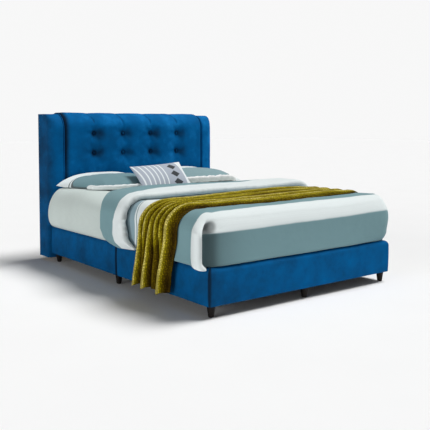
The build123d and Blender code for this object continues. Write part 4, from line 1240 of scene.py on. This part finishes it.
def cushion():
    u, v, x, y, upper, lower = stuffed_grid(CUSHION_HALF_X, CUSHION_HALF_Y, rise=0.046, sag=0.019, draw=0.012,
                                            count_x=90, count_y=60, power=0.55)
    flat = joined(x, y, 0)
    wave = ripples(flat, 0.09, 71) + 0.5 * ripples(flat, 0.035, 72)
    rim = smooth(1 - np.maximum(np.abs(u), np.abs(v)), 0, 0.3)
    skins = [cushion_point(x, y, upper + 0.0022 * wave * rim), cushion_point(x, y, lower)]
    bow = 0.018 * (y / CUSHION_HALF_Y) ** 2 + 0.01 * y / CUSHION_HALF_Y
    light = colour(232, 238, 240)
    dull = colour(172, 180, 192)
    stops = [(0.0, light), (0.040, light), (0.044, dull)]
    for index in range(6):
        spot = 0.115 + 0.080 * index
        stops += [(spot - 0.012, dull), (spot - 0.009, light), (spot + 0.009, light), (spot + 0.012, dull)]
    stops += [(0.86, dull), (0.865, light)]

    def tint(tree):
        """Curved stripes, and a column of dark lozenges on the plain part."""
        along_y = attribute(tree, "place_y")
        aside = calc(tree, "ABSOLUTE", calc(tree, "SUBTRACT", attribute(tree, "place_x"), 0.098), 0.0)
        repeat = calc(tree, "FRACT", calc(tree, "ADD", calc(tree, "MULTIPLY", along_y, 13.0), 10.69), 0.0)
        above = calc(tree, "ABSOLUTE", calc(tree, "SUBTRACT", repeat, 0.5), 0.0)
        past_top = calc(tree, "MULTIPLY", calc(tree, "SUBTRACT", along_y, 0.098), 200.0)
        far = calc(tree, "ADD", calc(tree, "DIVIDE", aside, 0.044), calc(tree, "MULTIPLY", above, 2.3),
                   calc(tree, "MAXIMUM", past_top, 0.0))
        lozenge = ramp(tree, far, [(0.0, grey(1)), (0.94, grey(1)), (1.0, grey(0))])
        return blend_of(tree, lozenge, bands_of("stripe", stops)(tree), colour(58, 62, 66))

    finish = cloth("cushion_linen", tint, 0.0018)
    obj = sewn("scatter_cushion_case", skins, "scatter_cushion", finish,
               {"stripe": (x + bow + 0.25) / 0.5, "place_x": x, "place_y": y})
    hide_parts("scatter_cushion")


cushion()


# Stage, light and camera

def stage():
    bpy.ops.mesh.primitive_plane_add(size=80, location=(0, 0, 0))
    floor = bpy.context.object
    floor.name = "studio_floor"
    made, tree, shader = material("pale_floor", 0.9, Specular_IOR_Level=0.0)
    paint(tree, shader, ramp(tree, clouds(tree, 0.5), [(0.3, grey(0.912)), (0.7, grey(0.922))]))
    floor.data.materials.append(made)
    world = bpy.data.worlds.new("studio")
    bpy.context.scene.world = world
    world.use_nodes = True
    tree = world.node_tree
    tree.nodes.clear()
    rays = add_node(tree, "LightPath").outputs
    seen = calc(tree, "MAXIMUM", rays["Is Camera Ray"], rays["Is Transmission Ray"])
    glow = add_node(tree, "Background", grey(1), 0.065).outputs[0]
    pale = add_node(tree, "Background", grey(0.935), 1.0).outputs[0]
    add_node(tree, "OutputWorld", add_node(tree, "MixShader", seen, glow, pale).outputs[0])
    for name, strength, spread, direction in (
            ("key_light", 3.18, 30, (-0.53, 0.15, -0.95)),
            ("side_fill", 2.14, 40, (0.95, 0.12, -0.045)),
            ("front_fill", 0.30, 40, (0.30, 0.95, -0.06))):
        lamp = bpy.data.objects.new(name, bpy.data.lights.new(name, "SUN"))
        lamp.data.energy = strength
        lamp.data.angle = math.radians(spread)
        lamp.rotation_euler = Vector(direction).to_track_quat("-Z", "Y").to_euler()
        bpy.context.scene.collection.objects.link(lamp)


stage()

# The camera was fitted to the straight edges in the photo
camera_down = 0.0561
camera_turn = -0.6575
camera = bpy.data.objects.new("photo_camera", bpy.data.cameras.new("photo_camera"))
camera.data.lens = 57.065
camera.data.sensor_width = 36
camera.data.shift_y = -0.12
camera.data.clip_end = 200
camera.location = (-2.98296, -4.02512, 1.06331)
camera.rotation_euler = (QUARTER - camera_down, 0, camera_turn)
bpy.context.scene.collection.objects.link(camera)
bpy.context.scene.camera = camera
bpy.context.scene.view_settings.view_transform = "Standard"
